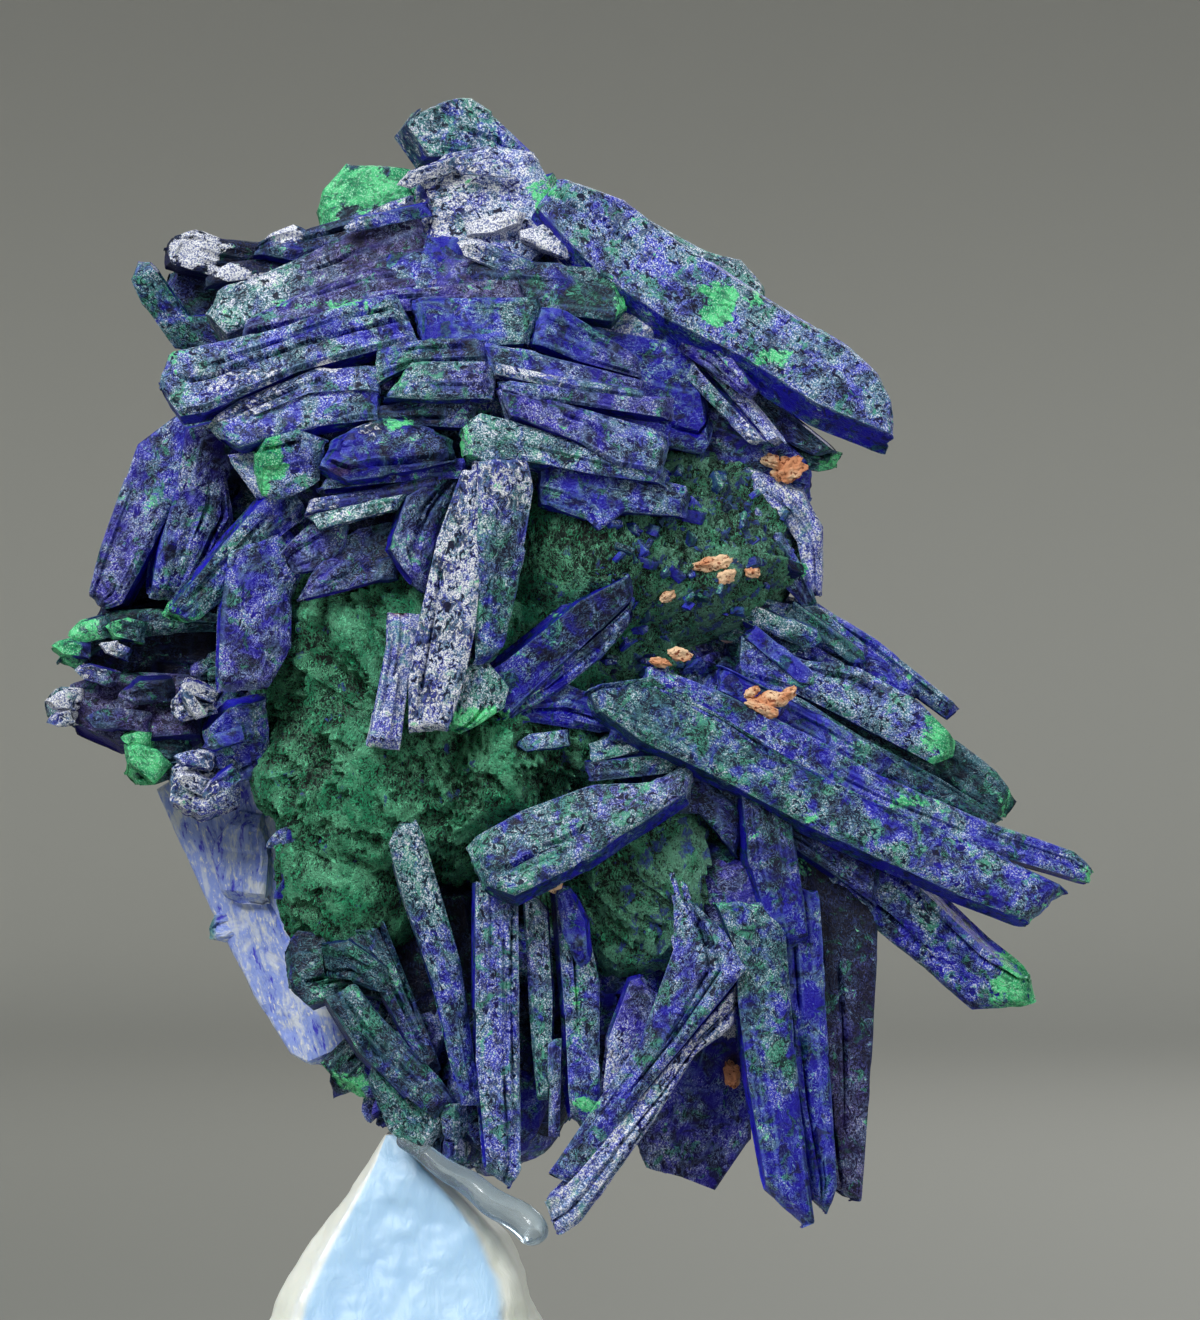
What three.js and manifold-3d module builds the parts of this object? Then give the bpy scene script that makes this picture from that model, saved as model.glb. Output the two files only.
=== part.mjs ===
// Azurite specimen: laths of azurite grown in a cap and in fans around a lump of felted malachite,
// standing on a lump of display putty with a bead of clear gel along the contact.
// Millimetres, +Z up. From the front, +X is to the right and -Y is towards the viewer.
// The origin is the middle of the putty's flat base.

import * as THREE from 'three';
import { mergeVertices } from 'three/addons/utils/BufferGeometryUtils.js';
import Module from 'manifold-3d';

const wasm = await Module();
wasm.setup();

// Driving dimensions
const GAP = 0.3; // clearance between neighbouring pieces
const BASE_LEFT = -15; // putty foot, left edge
const BASE_RIGHT = 12; // putty foot, right edge
const BASE_HALF_DEPTH = 12; // putty foot, front to back
const PUTTY_HEIGHT = 17.1; // top of the putty, where the crystals sit

const DEGREE = Math.PI / 180;

// A closed three.js geometry as a solid that can be joined and cut.
function solidOf(geometry) {
  geometry.deleteAttribute('normal');
  geometry.deleteAttribute('uv');
  const merged = mergeVertices(geometry, 1e-4);
  return new wasm.Manifold(new wasm.Mesh({
    numProp: 3,
    vertProperties: Float32Array.from(merged.attributes.position.array),
    triVerts: Uint32Array.from(merged.index.array),
  }));
}

// One lath: two edges, each a list of [x, z] from root to tip as the front shows them, the depth y of
// its broad face at root and tip, its thickness behind that face, and its roll: the slope across the
// face in degrees, plus where the second edge lies deeper. grow swells it evenly on every side.
function lath(first, second, [rootDepth, tipDepth], thick, roll = 0, grow = 0) {
  const middle = (a, b) => new THREE.Vector2((a[0] + b[0]) / 2, (a[1] + b[1]) / 2);
  const root = middle(first[0], second[0]);
  const along = middle(first.at(-1), second.at(-1)).sub(root);
  const length = along.length();
  along.normalize();
  const towardsSecond = new THREE.Vector2(second[0][0] - first[0][0], second[0][1] - first[0][1]);
  const across = new THREE.Vector2(-along.y, along.x);
  across.multiplyScalar(Math.sign(across.dot(towardsSecond)) || 1);
  const slopeAlong = (tipDepth - rootDepth) / length;
  const slopeAcross = Math.tan(roll * DEGREE);
  const origin = new THREE.Vector3(root.x, rootDepth, root.y);
  const u = new THREE.Vector3(along.x, slopeAlong, along.y).normalize();
  const side = new THREE.Vector3(across.x, slopeAcross, across.y);
  const n = new THREE.Vector3().crossVectors(u, side).normalize();
  if (n.y < 0) n.negate();
  const v = new THREE.Vector3().crossVectors(n, u);
  const flat = [...first, ...second.toReversed()].map(([x, z]) => {
    const offset = new THREE.Vector2(x - root.x, z - root.y);
    const depth = rootDepth + offset.dot(along) * slopeAlong + offset.dot(across) * slopeAcross;
    const point = new THREE.Vector3(x, depth, z).sub(origin);
    return new THREE.Vector2(point.dot(u), point.dot(v));
  });
  const geometry = new THREE.ExtrudeGeometry(new THREE.Shape(flat), {
    depth: thick + 2 * grow,
    bevelEnabled: true,
    bevelSegments: 0,
    bevelThickness: 0,
    bevelSize: 0,
    bevelOffset: grow,
  });
  geometry.translate(0, 0, -grow);
  geometry.applyMatrix4(new THREE.Matrix4().makeBasis(u, v, n).setPosition(origin));
  return solidOf(geometry);
}

// A lumpy closed body: a ball whose reach in each direction is the smooth maximum of how far the lobes
// reach there. Each lobe is [[x, y, z], [radius x, radius y, radius z]].
function lumpy(centre, lobes, columns, rows, grow = 0) {
  const geometry = new THREE.SphereGeometry(1, columns, rows);
  geometry.rotateX(Math.PI / 2);
  const position = geometry.attributes.position;
  const ray = new THREE.Vector3();
  const sharpness = 10;
  for (let i = 0; i < position.count; i++) {
    ray.fromBufferAttribute(position, i).normalize();
    let sum = 0;
    for (const [place, radii] of lobes) {
      sum += Math.max(reach(centre, ray, place, radii), 0) ** sharpness;
    }
    ray.multiplyScalar(sum ** (1 / sharpness) + grow);
    position.setXYZ(i, centre[0] + ray.x, centre[1] + ray.y, centre[2] + ray.z);
  }
  return solidOf(geometry);
}

// How far a ray from the centre runs before it leaves the ellipsoid at place.
function reach(centre, ray, place, radii) {
  const start = centre.map((value, axis) => (value - place[axis]) / radii[axis]);
  const step = [ray.x / radii[0], ray.y / radii[1], ray.z / radii[2]];
  const dot = (p, q) => p[0] * q[0] + p[1] * q[1] + p[2] * q[2];
  const a = dot(step, step);
  const b = dot(start, step);
  const inside = b * b - a * (dot(start, start) - 1);
  return inside < 0 ? 0 : (Math.sqrt(inside) - b) / a;
}

// A plain lath with a chisel end: its root's middle, its direction in the front view in degrees from
// +X, how far it reaches there, its width, and the rest as lath takes them.
function plainLath([x, z], angle, reachOut, width, depths, thick, roll, grow) {
  const c = Math.cos(angle * DEGREE);
  const s = Math.sin(angle * DEGREE);
  const at = (far, aside) => [x + far * c - aside * s, z + far * s + aside * c];
  const half = width / 2;
  const shoulder = reachOut - 0.6 * width;
  const first = [at(0, half), at(shoulder, half), at(reachOut, 0.2 * half)];
  const second = [at(0, -half), at(shoulder - 0.3 * width, -half), at(reachOut - 0.15 * width, -0.2 * half)];
  return lath(first, second, depths, thick, roll, grow);
}

// Cap: laths that radiate from the top of the malachite, from the skyline down to the lowest row.
const capLaths = (grow) => [
  // knob and blunt crystals on the skyline
  lath([[3.2, 66.4], [0.8, 68.7], [-0.4, 69.5], [-1.6, 69.5]],
    [[2, 64.6], [-0.8, 66.3], [-2.6, 66.4], [-3.7, 68], [-3.1, 69]], [0.6, 0], 3.4, -20, grow),
  lath([[-3.2, 66], [-5.2, 66.2], [-6.8, 66.2], [-8, 64.8], [-8.4, 64]],
    [[-3, 64], [-5.5, 63.2], [-7.2, 62.8], [-8.2, 62.9]], [0, -0.5], 3, -15, grow),
  lath([[-3.4, 65.2], [-1.8, 66.6], [0.6, 67.1], [2.8, 66.8]],
    [[-3, 61.4], [-0.5, 60.8], [2.5, 61], [4.6, 62.8]], [-2.2, -1.6], 3.2, -12, grow),
  // upper left laths with pale blunt ends
  lath([[-3.2, 64.7], [-5.5, 63.9], [-8.8, 62.9], [-9.4, 63.2], [-11.2, 62.4]],
    [[-3.4, 62.6], [-7.5, 61.4], [-9.5, 61.2], [-11.5, 61.6]], [-0.8, -1.6], 1.8, -18, grow),
  lath([[-8, 62], [-13, 62.4], [-14.3, 62.9], [-15.4, 62.6]],
    [[-8, 60], [-12.5, 60], [-14.6, 60.6], [-15.6, 60.9], [-15.9, 61.8]], [1.5, 0], 2.6, -8, grow),
  lath([[-9, 60.8], [-13.1, 62], [-16, 60.7]], [[-9, 57.5], [-15, 57.2], [-16.5, 59.5]],
    [2.2, 2.6], 2.2, 0, grow),
  lath([[-11, 58.6], [-14.8, 58.4], [-16.4, 60.6], [-16.9, 61]],
    [[-11, 56], [-15.6, 56.6], [-17.2, 58.9], [-17.8, 60.2], [-17.5, 61]], [0.5, 0.5], 1.8, 10, grow),
  lath([[-3.3, 64.4], [-6, 63], [-8.8, 61.6], [-11.2, 60.5], [-13.3, 59.9]],
    [[-2, 60.8], [-6, 60], [-9.2, 58.8], [-12.7, 57.4], [-13.9, 58.6]], [-2.6, -3.4], 2.4, -22, grow),
  lath([[2.4, 61.6], [-2.5, 61.3], [-6, 60.8], [-9.5, 59.4], [-12, 58.2]],
    [[2, 58.6], [-3, 58.6], [-8, 57.8], [-12, 57.2]], [-4.4, -4.6], 2, -26, grow),
  // dark green blade and the rows below it
  lath([[-1, 60.6], [0, 61.2], [6, 60.9], [7.1, 60.1]],
    [[-0.5, 59], [3, 58.4], [6.6, 57.9], [7.4, 58.7]], [-4.6, -4.4], 1.8, -18, grow),
  lath([[-4, 59.5], [-6.6, 59], [-9.5, 57.9], [-12.5, 57.1], [-15.7, 56.4]],
    [[-3, 57], [-9, 55.4], [-13.7, 53.3], [-14.9, 53.1], [-16.1, 54.8]], [-6.6, -6.8], 2.4, -16, grow),
  lath([[-3.6, 59.3], [3, 59.4], [3.3, 58.8]], [[-2.9, 56.8], [-1, 56.6], [2.5, 56.8]],
    [-6.5, -6.4], 2, -16, grow),
  lath([[3.2, 58.9], [4.4, 58.5], [8.2, 56.2]], [[2.6, 56.8], [5, 55.8], [8.4, 55]],
    [-6.6, -5.2], 1.8, -14, grow),
  lath([[4.5, 58], [8.5, 57.3], [11.4, 56.6]], [[4, 52], [8, 52], [11.2, 51.2], [12, 52.6]],
    [-4.4, -2.6], 3, -4, grow),
  // thin laths stacked to the right
  lath([[0.2, 57], [2.6, 56.6], [8.4, 55.1]], [[0.6, 55.2], [4.6, 54.4], [8.4, 53.9]],
    [-7.5, -6.5], 1.8, -12, grow),
  lath([[0.9, 55.1], [8.4, 54.2], [10, 54.2]], [[1.2, 54.2], [4.5, 53.7], [9.8, 52.9]],
    [-8.1, -6.6], 1.8, -12, grow),
  lath([[1, 54.9], [4, 54.1], [8.8, 52.8], [9.9, 52.2]],
    [[1.6, 53.2], [5, 51.8], [6.8, 50.6], [9.3, 50.2]], [-8.5, -7.4], 2.2, -16, grow),
  lath([[0.9, 55.7], [0.3, 56.1], [-3.3, 56.1], [-4, 55.4]],
    [[0.8, 54], [-1.5, 53.9], [-4.9, 54.1]], [-7.9, -8], 2, -14, grow),
  // left side of the lower rows
  lath([[-5, 56], [-6.9, 55.8], [-8.2, 55.7], [-12, 54.1], [-13.8, 52.9]],
    [[-5, 54.4], [-8.5, 54.2], [-11.5, 53], [-13.2, 52.4]], [-7.4, -6.8], 1.6, -18, grow),
  lath([[-5, 54.6], [-7.4, 54.8], [-10.5, 53.8], [-13.8, 52.8]],
    [[-5, 53], [-9, 52.4], [-12, 51.6], [-13.2, 52.2]], [-7.7, -6.9], 1.8, -16, grow),
  lath([[0, 54.3], [-3, 54.2], [-6, 53.6]], [[0, 52.4], [-3, 52.6], [-6, 52.4]],
    [-7.3, -7.3], 1.6, -8, grow),
  lath([[-1.2, 52.2], [-3.5, 53.1], [-5, 53.2], [-7.4, 52.2]],
    [[-1, 51], [-3.5, 50.4], [-6.5, 50], [-8, 50.8]], [-7.6, -8.2], 2.2, -16, grow),
  lath([[0, 51.2], [-3, 51.2], [-7.5, 50.6]], [[-0.5, 50], [-4, 49.8], [-8.2, 49.4]],
    [-6.9, -7.3], 2, -10, grow),
  lath([[-7.4, 52], [-9, 52.6], [-10.6, 52.1], [-11.2, 51.2]],
    [[-7.8, 49.8], [-9.4, 48.9], [-10.8, 49], [-11.1, 50]], [-7.6, -8], 3, 8, grow),
  lath([[-0.9, 52.8], [0.1, 53.5], [1.6, 53.1], [6, 51.7], [9.8, 50.7]],
    [[-0.7, 51.3], [0.4, 50.8], [1.6, 51], [6, 50.2], [9.5, 49.8]], [-8.7, -7.4], 2.2, -16, grow),
  // ragged plate over the malachite and the small blades at the lower edge
  lath([[2.9, 51.5], [6, 50.9], [10.4, 49.8], [10.9, 49.2]],
    [[3, 48.8], [5.2, 48], [6, 47.4], [7.2, 48.3], [10.5, 48.1]], [-7.6, -6.6], 2, -8, grow),
  lath([[-1.2, 50.6], [-3.6, 49.2], [-4.5, 46.6], [-3.3, 44.8]],
    [[-0.8, 50.2], [-1.8, 47.5], [-2.6, 44.2]], [-6.6, -7.6], 1.4, 14, grow),
  lath([[-6.4, 48.6], [-8.6, 47.9], [-10.2, 46.4]], [[-6.6, 46.6], [-8, 45.4], [-9.5, 45.2]],
    [-7, -6.8], 1.6, -6, grow),
  lath([[-3.6, 48.2], [-6, 47.8], [-7.4, 46.9], [-8.9, 44.6]],
    [[-3.9, 45.2], [-6.5, 44.5], [-9.1, 44]], [-6.6, -7.4], 1.4, -10, grow),
  lath([[-9.4, 50], [-10.8, 49], [-12.8, 46.8], [-16, 42.9]],
    [[-8.4, 48], [-9.8, 47], [-12.5, 44], [-14.5, 42.5]], [-6.6, -5.4], 1.8, 20, grow),
  lath([[-9.4, 47.6], [-12.6, 46.4], [-13, 43.5], [-13.1, 39.3]],
    [[-8.4, 46], [-9.2, 44], [-9.2, 41.6], [-10.4, 39.5]], [-5.8, -6.4], 1.8, 10, grow),
];

// Roof: the thick slab that slopes down to the right, with the thin blades under its eave.
const roofLaths = (grow) => [
  lath([[4, 65.6], [7.4, 64.4], [10, 62.4], [14.5, 59.4], [18.5, 57], [20, 55.6], [20.9, 53.9]],
    [[2.8, 64], [6, 60.6], [9.2, 58.4], [13.2, 56.4], [17, 54], [20.9, 52.4]], [-2.6, -4.4], 2.8, -34, grow),
  lath([[6, 64.6], [8, 63.8], [11.5, 61.8], [13.2, 61.4], [14.6, 59.8]],
    [[6, 61], [8, 60], [12, 58], [14, 57.5]], [0.2, -0.2], 3, -20, grow),
  lath([[8, 60.6], [12, 58.4], [16, 55]], [[8, 55], [12, 53.4], [15, 52]], [0, -0.4], 3, -10, grow),
  lath([[9.6, 58], [12, 57], [13.8, 54.5]], [[9.6, 56.6], [11.8, 55], [13.4, 53.9]],
    [-3.4, -4.4], 1.6, 12, grow),
  lath([[10.6, 56.2], [11.2, 55.4], [14.3, 51.9]], [[9.8, 55.4], [10.6, 54.6], [13.6, 51.6]],
    [-2.8, -4], 1.4, 16, grow),
  lath([[12, 56.4], [15, 53.8], [17.9, 51.4]], [[12.6, 53.2], [15.5, 51.8], [17, 51.1]],
    [-1.6, -2], 1.8, 8, grow),
  lath([[9.6, 53.8], [12, 53.8], [15, 52.4], [16.8, 50.8]],
    [[9.8, 49.6], [12.2, 48.6], [14.5, 48.2], [16.8, 48.9]], [-1.8, -1.4], 2.8, 0, grow),
  lath([[13.2, 50.8], [14.6, 50.2], [16.2, 49.4], [17.2, 47.5], [17.2, 44]],
    [[13.4, 49.6], [14.2, 49], [15.8, 46.8], [16.4, 43.9]], [-2.2, -1.4], 1.6, 10, grow),
  lath([[13.4, 49.4], [15.2, 47.4], [16.4, 45.4], [17, 43.8]],
    [[12.8, 48.2], [14, 46.4], [15.2, 44.6], [16.6, 43.2]], [-2.4, -2], 1.6, 0, grow),
];

// Left: two striated slabs, and the druse of small crystals and lumps below them round a dark cavity.
const leftLaths = (grow) => [
  lath([[-13.5, 53.4], [-15.5, 53.4], [-17.4, 52], [-18, 50.2], [-19.3, 46.5], [-19.9, 44.2]],
    [[-13, 50.5], [-15.6, 48.5], [-16.6, 46.5], [-18.1, 43.8], [-19.2, 43.4]], [-2, -1.4], 3, -10, grow),
  lath([[-13, 53], [-14.8, 52.6], [-15.2, 50], [-16.2, 46.5], [-16.6, 44]],
    [[-11, 52], [-12.6, 50], [-12.3, 48], [-13.3, 46], [-15, 43.6]], [-3, -2.6], 3.4, 12, grow),
  // druse
  lath([[-13, 43.4], [-16.6, 43.7], [-18.6, 43.6], [-20.2, 42.6], [-21.5, 41]],
    [[-13, 42.4], [-16.4, 42.2], [-18.6, 41.8], [-20.5, 40.4]], [-0.8, -1.2], 2.4, 0, grow),
  lath([[-13, 42.8], [-17, 42.6], [-20.2, 42]], [[-13, 38], [-17, 39], [-20, 39.4]], [0.8, 0.4], 1.8, 0, grow),
  lath([[-14, 40.4], [-18, 40.6], [-20.8, 40]], [[-14, 37.4], [-18.5, 37], [-20.8, 38]],
    [-1.8, -1.4], 2.6, -20, grow),
  lath([[-19.6, 39.6], [-21.3, 39.7], [-22, 39]], [[-19.6, 37.7], [-21, 37.5], [-21.9, 38.1]],
    [-1.4, -1.6], 2.4, 0, grow),
  lath([[-13.2, 39.6], [-14.6, 40.1], [-15.5, 38.9]], [[-13, 38.2], [-14.9, 37.7], [-15.6, 38.1]],
    [-3.6, -3.8], 1.8, 10, grow),
  lath([[-14.6, 37.2], [-16.6, 37.5], [-17.6, 36.6], [-18.2, 35.3]],
    [[-14.6, 35.2], [-16.4, 34.6], [-17.6, 34.6]], [-1.8, -1.6], 2.6, 0, grow),
  lath([[-12, 36.4], [-14.2, 36.8], [-15.8, 35.6]], [[-12, 33.8], [-14, 33.2], [-15.6, 34]],
    [-2.6, -2.8], 2.4, -14, grow),
  lath([[-10.6, 39], [-12.6, 38.6], [-14, 37.2]], [[-10.4, 35.4], [-12, 34.6], [-13.6, 35.6]],
    [-3.6, -3.6], 2.2, 18, grow),
  // closes the hollow between the slabs and the druse
  lath([[-12.6, 46.4], [-16, 46.4], [-19, 44.8]], [[-12.6, 41], [-17, 41.4], [-20, 42]], [2.2, 1.6], 2, 0, grow),
  // hidden side
  plainLath([-8, 46], 150, 9.6, 4, [6.4, 3], 2.2, 12, grow),
  plainLath([-8, 43], 186, 9.4, 4, [6.8, 4], 2, -14, grow),
  plainLath([-8, 39], 212, 8, 3.8, [6.6, 4.4], 2, 12, grow),
];

// Back slab: the pale slab that runs down the lower left edge, with the small crystals on it.
const backSlabLaths = (grow) => [
  lath([[-14, 36], [-16.6, 34.4], [-15.3, 31.4], [-13.6, 27.8], [-11.7, 24], [-9.8, 21], [-8.2, 20.1]],
    [[-9, 34], [-10.4, 31.6], [-9.8, 28.4], [-8, 24], [-6.4, 21]], [0.6, 1.2], 3, -24, grow),
  lath([[-12.6, 33.4], [-14, 31.4], [-13.2, 28.6]], [[-11.3, 33.2], [-10.8, 31], [-11, 28.4]],
    [0.2, 0.8], 1.8, -22, grow),
];

// Centre: the bright upright blades in front of the malachite, and the blade that crosses beside them.
const centreLaths = (grow) => [
  lath([[-0.9, 50.5], [-2.2, 47], [-3.2, 42.6], [-3.6, 40], [-3.6, 37.3]],
    [[0.3, 50.7], [0.2, 46], [-0.1, 42.5], [-0.6, 40.2], [-1.6, 37.4]], [-8.9, -9], 1.6, -4, grow),
  lath([[0, 50.9], [-0.1, 46], [-0.1, 42], [-0.1, 40.6]],
    [[2.6, 51.1], [2.9, 49.5], [2.3, 46], [1.4, 42], [0.8, 40.6]], [-9, -8.6], 1.6, 22, grow),
  lath([[-4.6, 43.4], [-4.6, 41.8], [-5, 39.6], [-5.6, 36.7]],
    [[-2.8, 43.4], [-3.4, 40], [-3.8, 36.4]], [-7.9, -8.2], 1.4, 8, grow),
  lath([[-1.4, 41], [-1.7, 39], [-1.5, 37.4]], [[0.6, 41], [1.6, 39.6], [1.4, 38.6], [-0.8, 37.2]],
    [-8.3, -8.5], 1.4, 12, grow),
  lath([[-0.4, 39.8], [2, 41.6], [5, 44], [7.6, 45.3]], [[1.2, 37.6], [2.6, 39], [5, 41.3], [7.9, 44.2]],
    [-7.6, -7.6], 2, 14, grow),
  lath([[2, 38.9], [5, 41.4], [7.9, 44]], [[1, 37.5], [4, 39.2], [6.2, 40.8], [7.8, 42.8]],
    [-7.2, -7.2], 1.8, 26, grow),
  lath([[0.8, 38.8], [2.4, 39.3], [4.5, 39.8], [8, 38.4]], [[0.8, 37.4], [2.5, 37.8], [6, 37.2], [7.6, 37.5]],
    [-6.8, -6.2], 1.8, 10, grow),
];

// Right fan: long laths that run down to the right from the middle of the front.
const rightFanLaths = (grow) => [
  lath([[8.4, 40.9], [12, 39.5], [16, 37.6], [20, 35.4], [25, 33.2], [29.8, 31.5], [31, 30.4]],
    [[8, 38.8], [10.5, 37.6], [16, 35.4], [20, 33.4], [26.3, 31], [30.6, 29.8]], [-7.4, -4.4], 2.2, -8, grow),
  lath([[5.4, 39.9], [8.6, 40.4], [12, 38.6], [16, 36], [20, 34], [26, 31.5], [29.8, 29.7]],
    [[6, 38.6], [8.2, 37], [12, 35.2], [16.4, 32.8], [21, 30.7], [24, 29.3], [27.7, 27.9]],
    [-8.4, -5.2], 2.4, -18, grow),
  lath([[13, 35.2], [16, 34], [18, 32.6], [20.4, 30.6]], [[14, 32.6], [16, 31.4], [18, 30], [20, 28.6]],
    [-5.6, -4.8], 2, -12, grow),
  lath([[15, 34.2], [18, 32.4], [21.3, 30.4], [25.3, 26.6], [27.5, 24.8]],
    [[14, 32.2], [16.5, 30.2], [20.2, 27], [24.6, 23.3], [27.9, 23.5]], [-4.4, -3.6], 2.2, 18, grow),
  lath([[12, 40.6], [15.2, 39.8], [19, 37.4], [23, 35.3], [26.5, 33.1]],
    [[12, 38.8], [14.5, 38], [18, 36.2], [22, 34], [25.8, 32.2]], [-5.2, -3.4], 2.2, -8, grow),
  lath([[13, 42.4], [16.3, 41.1], [19, 40.8], [22, 39.1], [24, 37]],
    [[13, 40], [16, 39.2], [19, 37.6], [22.7, 35.7], [23.9, 36.1]], [-4, -3.6], 2.2, -6, grow),
  lath([[12, 44.4], [17, 43.8], [20.5, 41], [22.2, 39.2]], [[12, 42], [16.4, 41], [19, 39.8], [21, 38.6]],
    [-3, -1.8], 2, -8, grow),
  lath([[14, 44.6], [17, 44], [20, 42.1], [24.3, 38.6]], [[14, 43], [16.5, 42.6], [19.5, 40.8], [23.6, 37.9]],
    [-0.8, -0.6], 1.8, -4, grow),
  lath([[16, 40], [20, 38.4], [24, 37], [26, 35.5], [27.1, 34]],
    [[16, 37.6], [19, 36.4], [22.8, 35], [25.5, 33], [26.6, 33]], [-2.6, -2.2], 2, -4, grow),
  // hidden side
  plainLath([13, 41], -28, 12, 2.6, [1.6, 3], 1.6, 10, grow),
  plainLath([13, 38], -36, 13, 3, [1.8, 4], 1.8, -12, grow),
  plainLath([12, 36], -46, 11, 2.8, [1.4, 5], 1.8, 14, grow),
  plainLath([13, 40], -18, 9, 2.4, [3.4, 6.5], 1.6, -10, grow),
];

// Lower fan: laths that hang from under the malachite, and the blade that lies across their heads.
const lowerFanLaths = (grow) => [
  lath([[10.8, 36.4], [8.5, 35.1], [5.5, 35], [2, 33.7], [-0.8, 32.1]],
    [[10.4, 34.6], [8, 33], [4.5, 30.7], [1.8, 29.4], [0.1, 30]], [-7.2, -8.6], 2.2, -26, grow),
  lath([[8, 36.2], [11, 36.6], [13.4, 35]], [[8, 33.2], [11, 33.2], [13, 31]], [-6.2, -5.6], 1.8, 0, grow),
  lath([[-0.9, 18.6], [-2.4, 24.8], [-4, 29.5], [-4.6, 31.8], [-4, 33.1]],
    [[0.2, 18.6], [-0.8, 26], [-1.8, 29.5], [-2.6, 32.2], [-3.1, 33.1]], [-5.8, -6.6], 2, 6, grow),
  lath([[-0.2, 30], [-0.3, 21], [0.3, 15.4]], [[2, 30], [2.1, 20], [2.2, 15.6], [1.7, 14.5]],
    [-7, -6.8], 2.4, 6, grow),
  lath([[2, 30], [2.3, 24], [2.5, 21.5], [2.8, 18.9]], [[3.4, 28.6], [3.7, 24], [3.6, 21], [3.4, 18.9]],
    [-6.4, -6.2], 1.8, -6, grow),
  lath([[3.7, 30.4], [4.2, 24], [4.4, 19.5], [4.6, 18.2]], [[5.2, 29], [6.1, 25], [6.1, 19], [5.6, 17.6]],
    [-6, -6.3], 2, 12, grow),
  lath([[6.1, 19.2], [6.4, 22], [7.5, 25], [8.2, 25.4]], [[6.6, 18], [7.8, 20.6], [9.2, 22.5], [9.4, 24]],
    [-6.2, -6.4], 1.8, 8, grow),
  lath([[9.1, 31.3], [9.6, 28.8], [9.6, 26.6], [7.9, 22], [5.4, 18.5], [3.3, 15.4]],
    [[9.9, 31.2], [10.6, 29], [12.3, 27.4], [13.3, 25.6], [10.5, 22.2], [7, 18], [4.6, 14.8]],
    [-6.2, -7.4], 2.2, -6, grow),
  lath([[13.2, 25.3], [12, 23.8], [8, 19.2], [5, 15.6], [3.4, 14]],
    [[13, 22.8], [10.8, 21.2], [8.8, 18], [5.2, 13], [4.2, 12.1]], [-6, -7.8], 2, 12, grow),
  lath([[11, 25], [9, 20], [7.8, 16.6], [8.3, 15.5], [9.3, 15.1]],
    [[14, 25], [13.8, 20], [13.7, 16.9], [11.9, 14.3], [11, 15.6]], [-3.2, -2.6], 2, 4, grow),
  lath([[13, 34.9], [13.4, 31], [14, 29], [15, 26.4]], [[15.7, 33.4], [16.2, 30], [16.6, 26.6]],
    [-6.4, -5.8], 2, 14, grow),
  lath([[11.7, 29], [12.7, 26.5], [12.8, 24], [13.3, 20], [14.3, 14.5]],
    [[14.4, 29], [15.4, 27.4], [15.8, 22], [16.6, 15], [16.9, 12.8], [16.4, 12.5]], [-6.4, -6], 2.2, 8, grow),
  lath([[14.4, 29.6], [14.9, 24], [15.6, 19], [16.8, 13.8]], [[17, 29.6], [17.6, 21], [18, 14.6], [17.5, 13.2]],
    [-5.2, -4.8], 2.2, 8, grow),
  lath([[14.6, 32], [16, 24], [16.8, 18], [17.7, 14.4]],
    [[18, 30.8], [20, 28.8], [20, 26], [19.6, 19], [19.2, 13.8], [18.8, 13.7]], [-4, -3.6], 2, 6, grow),
  // closes the hollow beside the root crystals
  lath([[-5, 30], [-4.2, 24], [-2, 18.6]], [[-0.6, 30], [0.4, 24], [0.6, 18.4]], [-2, -1.6], 2, 0, grow),
  // hidden side
  plainLath([1, 26], -92, 9.4, 2.6, [4.4, 5], 2, 12, grow),
  plainLath([5, 27], -84, 11.6, 3, [5, 6.6], 2, -10, grow),
  plainLath([9, 28], -78, 12, 2.8, [4.6, 6], 2, 14, grow),
  plainLath([12.6, 29], -68, 12.6, 3, [3.4, 4.6], 2, -12, grow),
  plainLath([14, 30], -56, 9, 2.6, [3.2, 6.4], 1.6, 10, grow),
];

// Root: dark stubby crystals at the lower left and the foot that stands in the putty.
const rootLaths = (grow) => [
  lath([[-5, 27.4], [-7.2, 27.4], [-9.2, 27.6], [-10, 26.6]], [[-4.6, 24], [-7, 24.2], [-8.6, 23.6], [-9.8, 24.6]],
    [-4, -3.6], 2.6, -8, grow),
  lath([[-6.4, 28.2], [-4.8, 28.2], [-3.4, 24.6], [-1.8, 20.6]], [[-6.8, 26.6], [-4.8, 24], [-2.6, 20]],
    [-4.4, -5], 1.8, -10, grow),
  lath([[-6.2, 25], [-4.8, 23.2], [-2, 20.4], [-0.9, 19]], [[-7.8, 24.2], [-6, 21.4], [-3.8, 19.2], [-2.2, 18]],
    [-5.4, -5.6], 2.2, -12, grow),
  lath([[-5.4, 21.6], [-3, 19.6], [-1.6, 17.6]], [[-5.8, 20], [-4.6, 17.4], [-2.8, 16]], [-5, -5.2], 2, 6, grow),
  lath([[-2, 18.9], [-0.5, 18.9]], [[-2.1, 15.9], [-0.6, 15.6]], [-5.4, -5.4], 2, 6, grow),
  lath([[-5, 22.4], [-7, 22], [-8.2, 20.8], [-7.2, 19.4]], [[-4.6, 20], [-5.4, 19.2], [-5.8, 18.8]],
    [-1, -1], 3, 0, grow),
  plainLath([-4.4, 24], 236, 6.4, 2.6, [3, 4.4], 2, 10, grow),
  plainLath([-3.2, 25], 262, 7.6, 2.6, [4.2, 5.2], 2, -8, grow),
];

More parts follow.
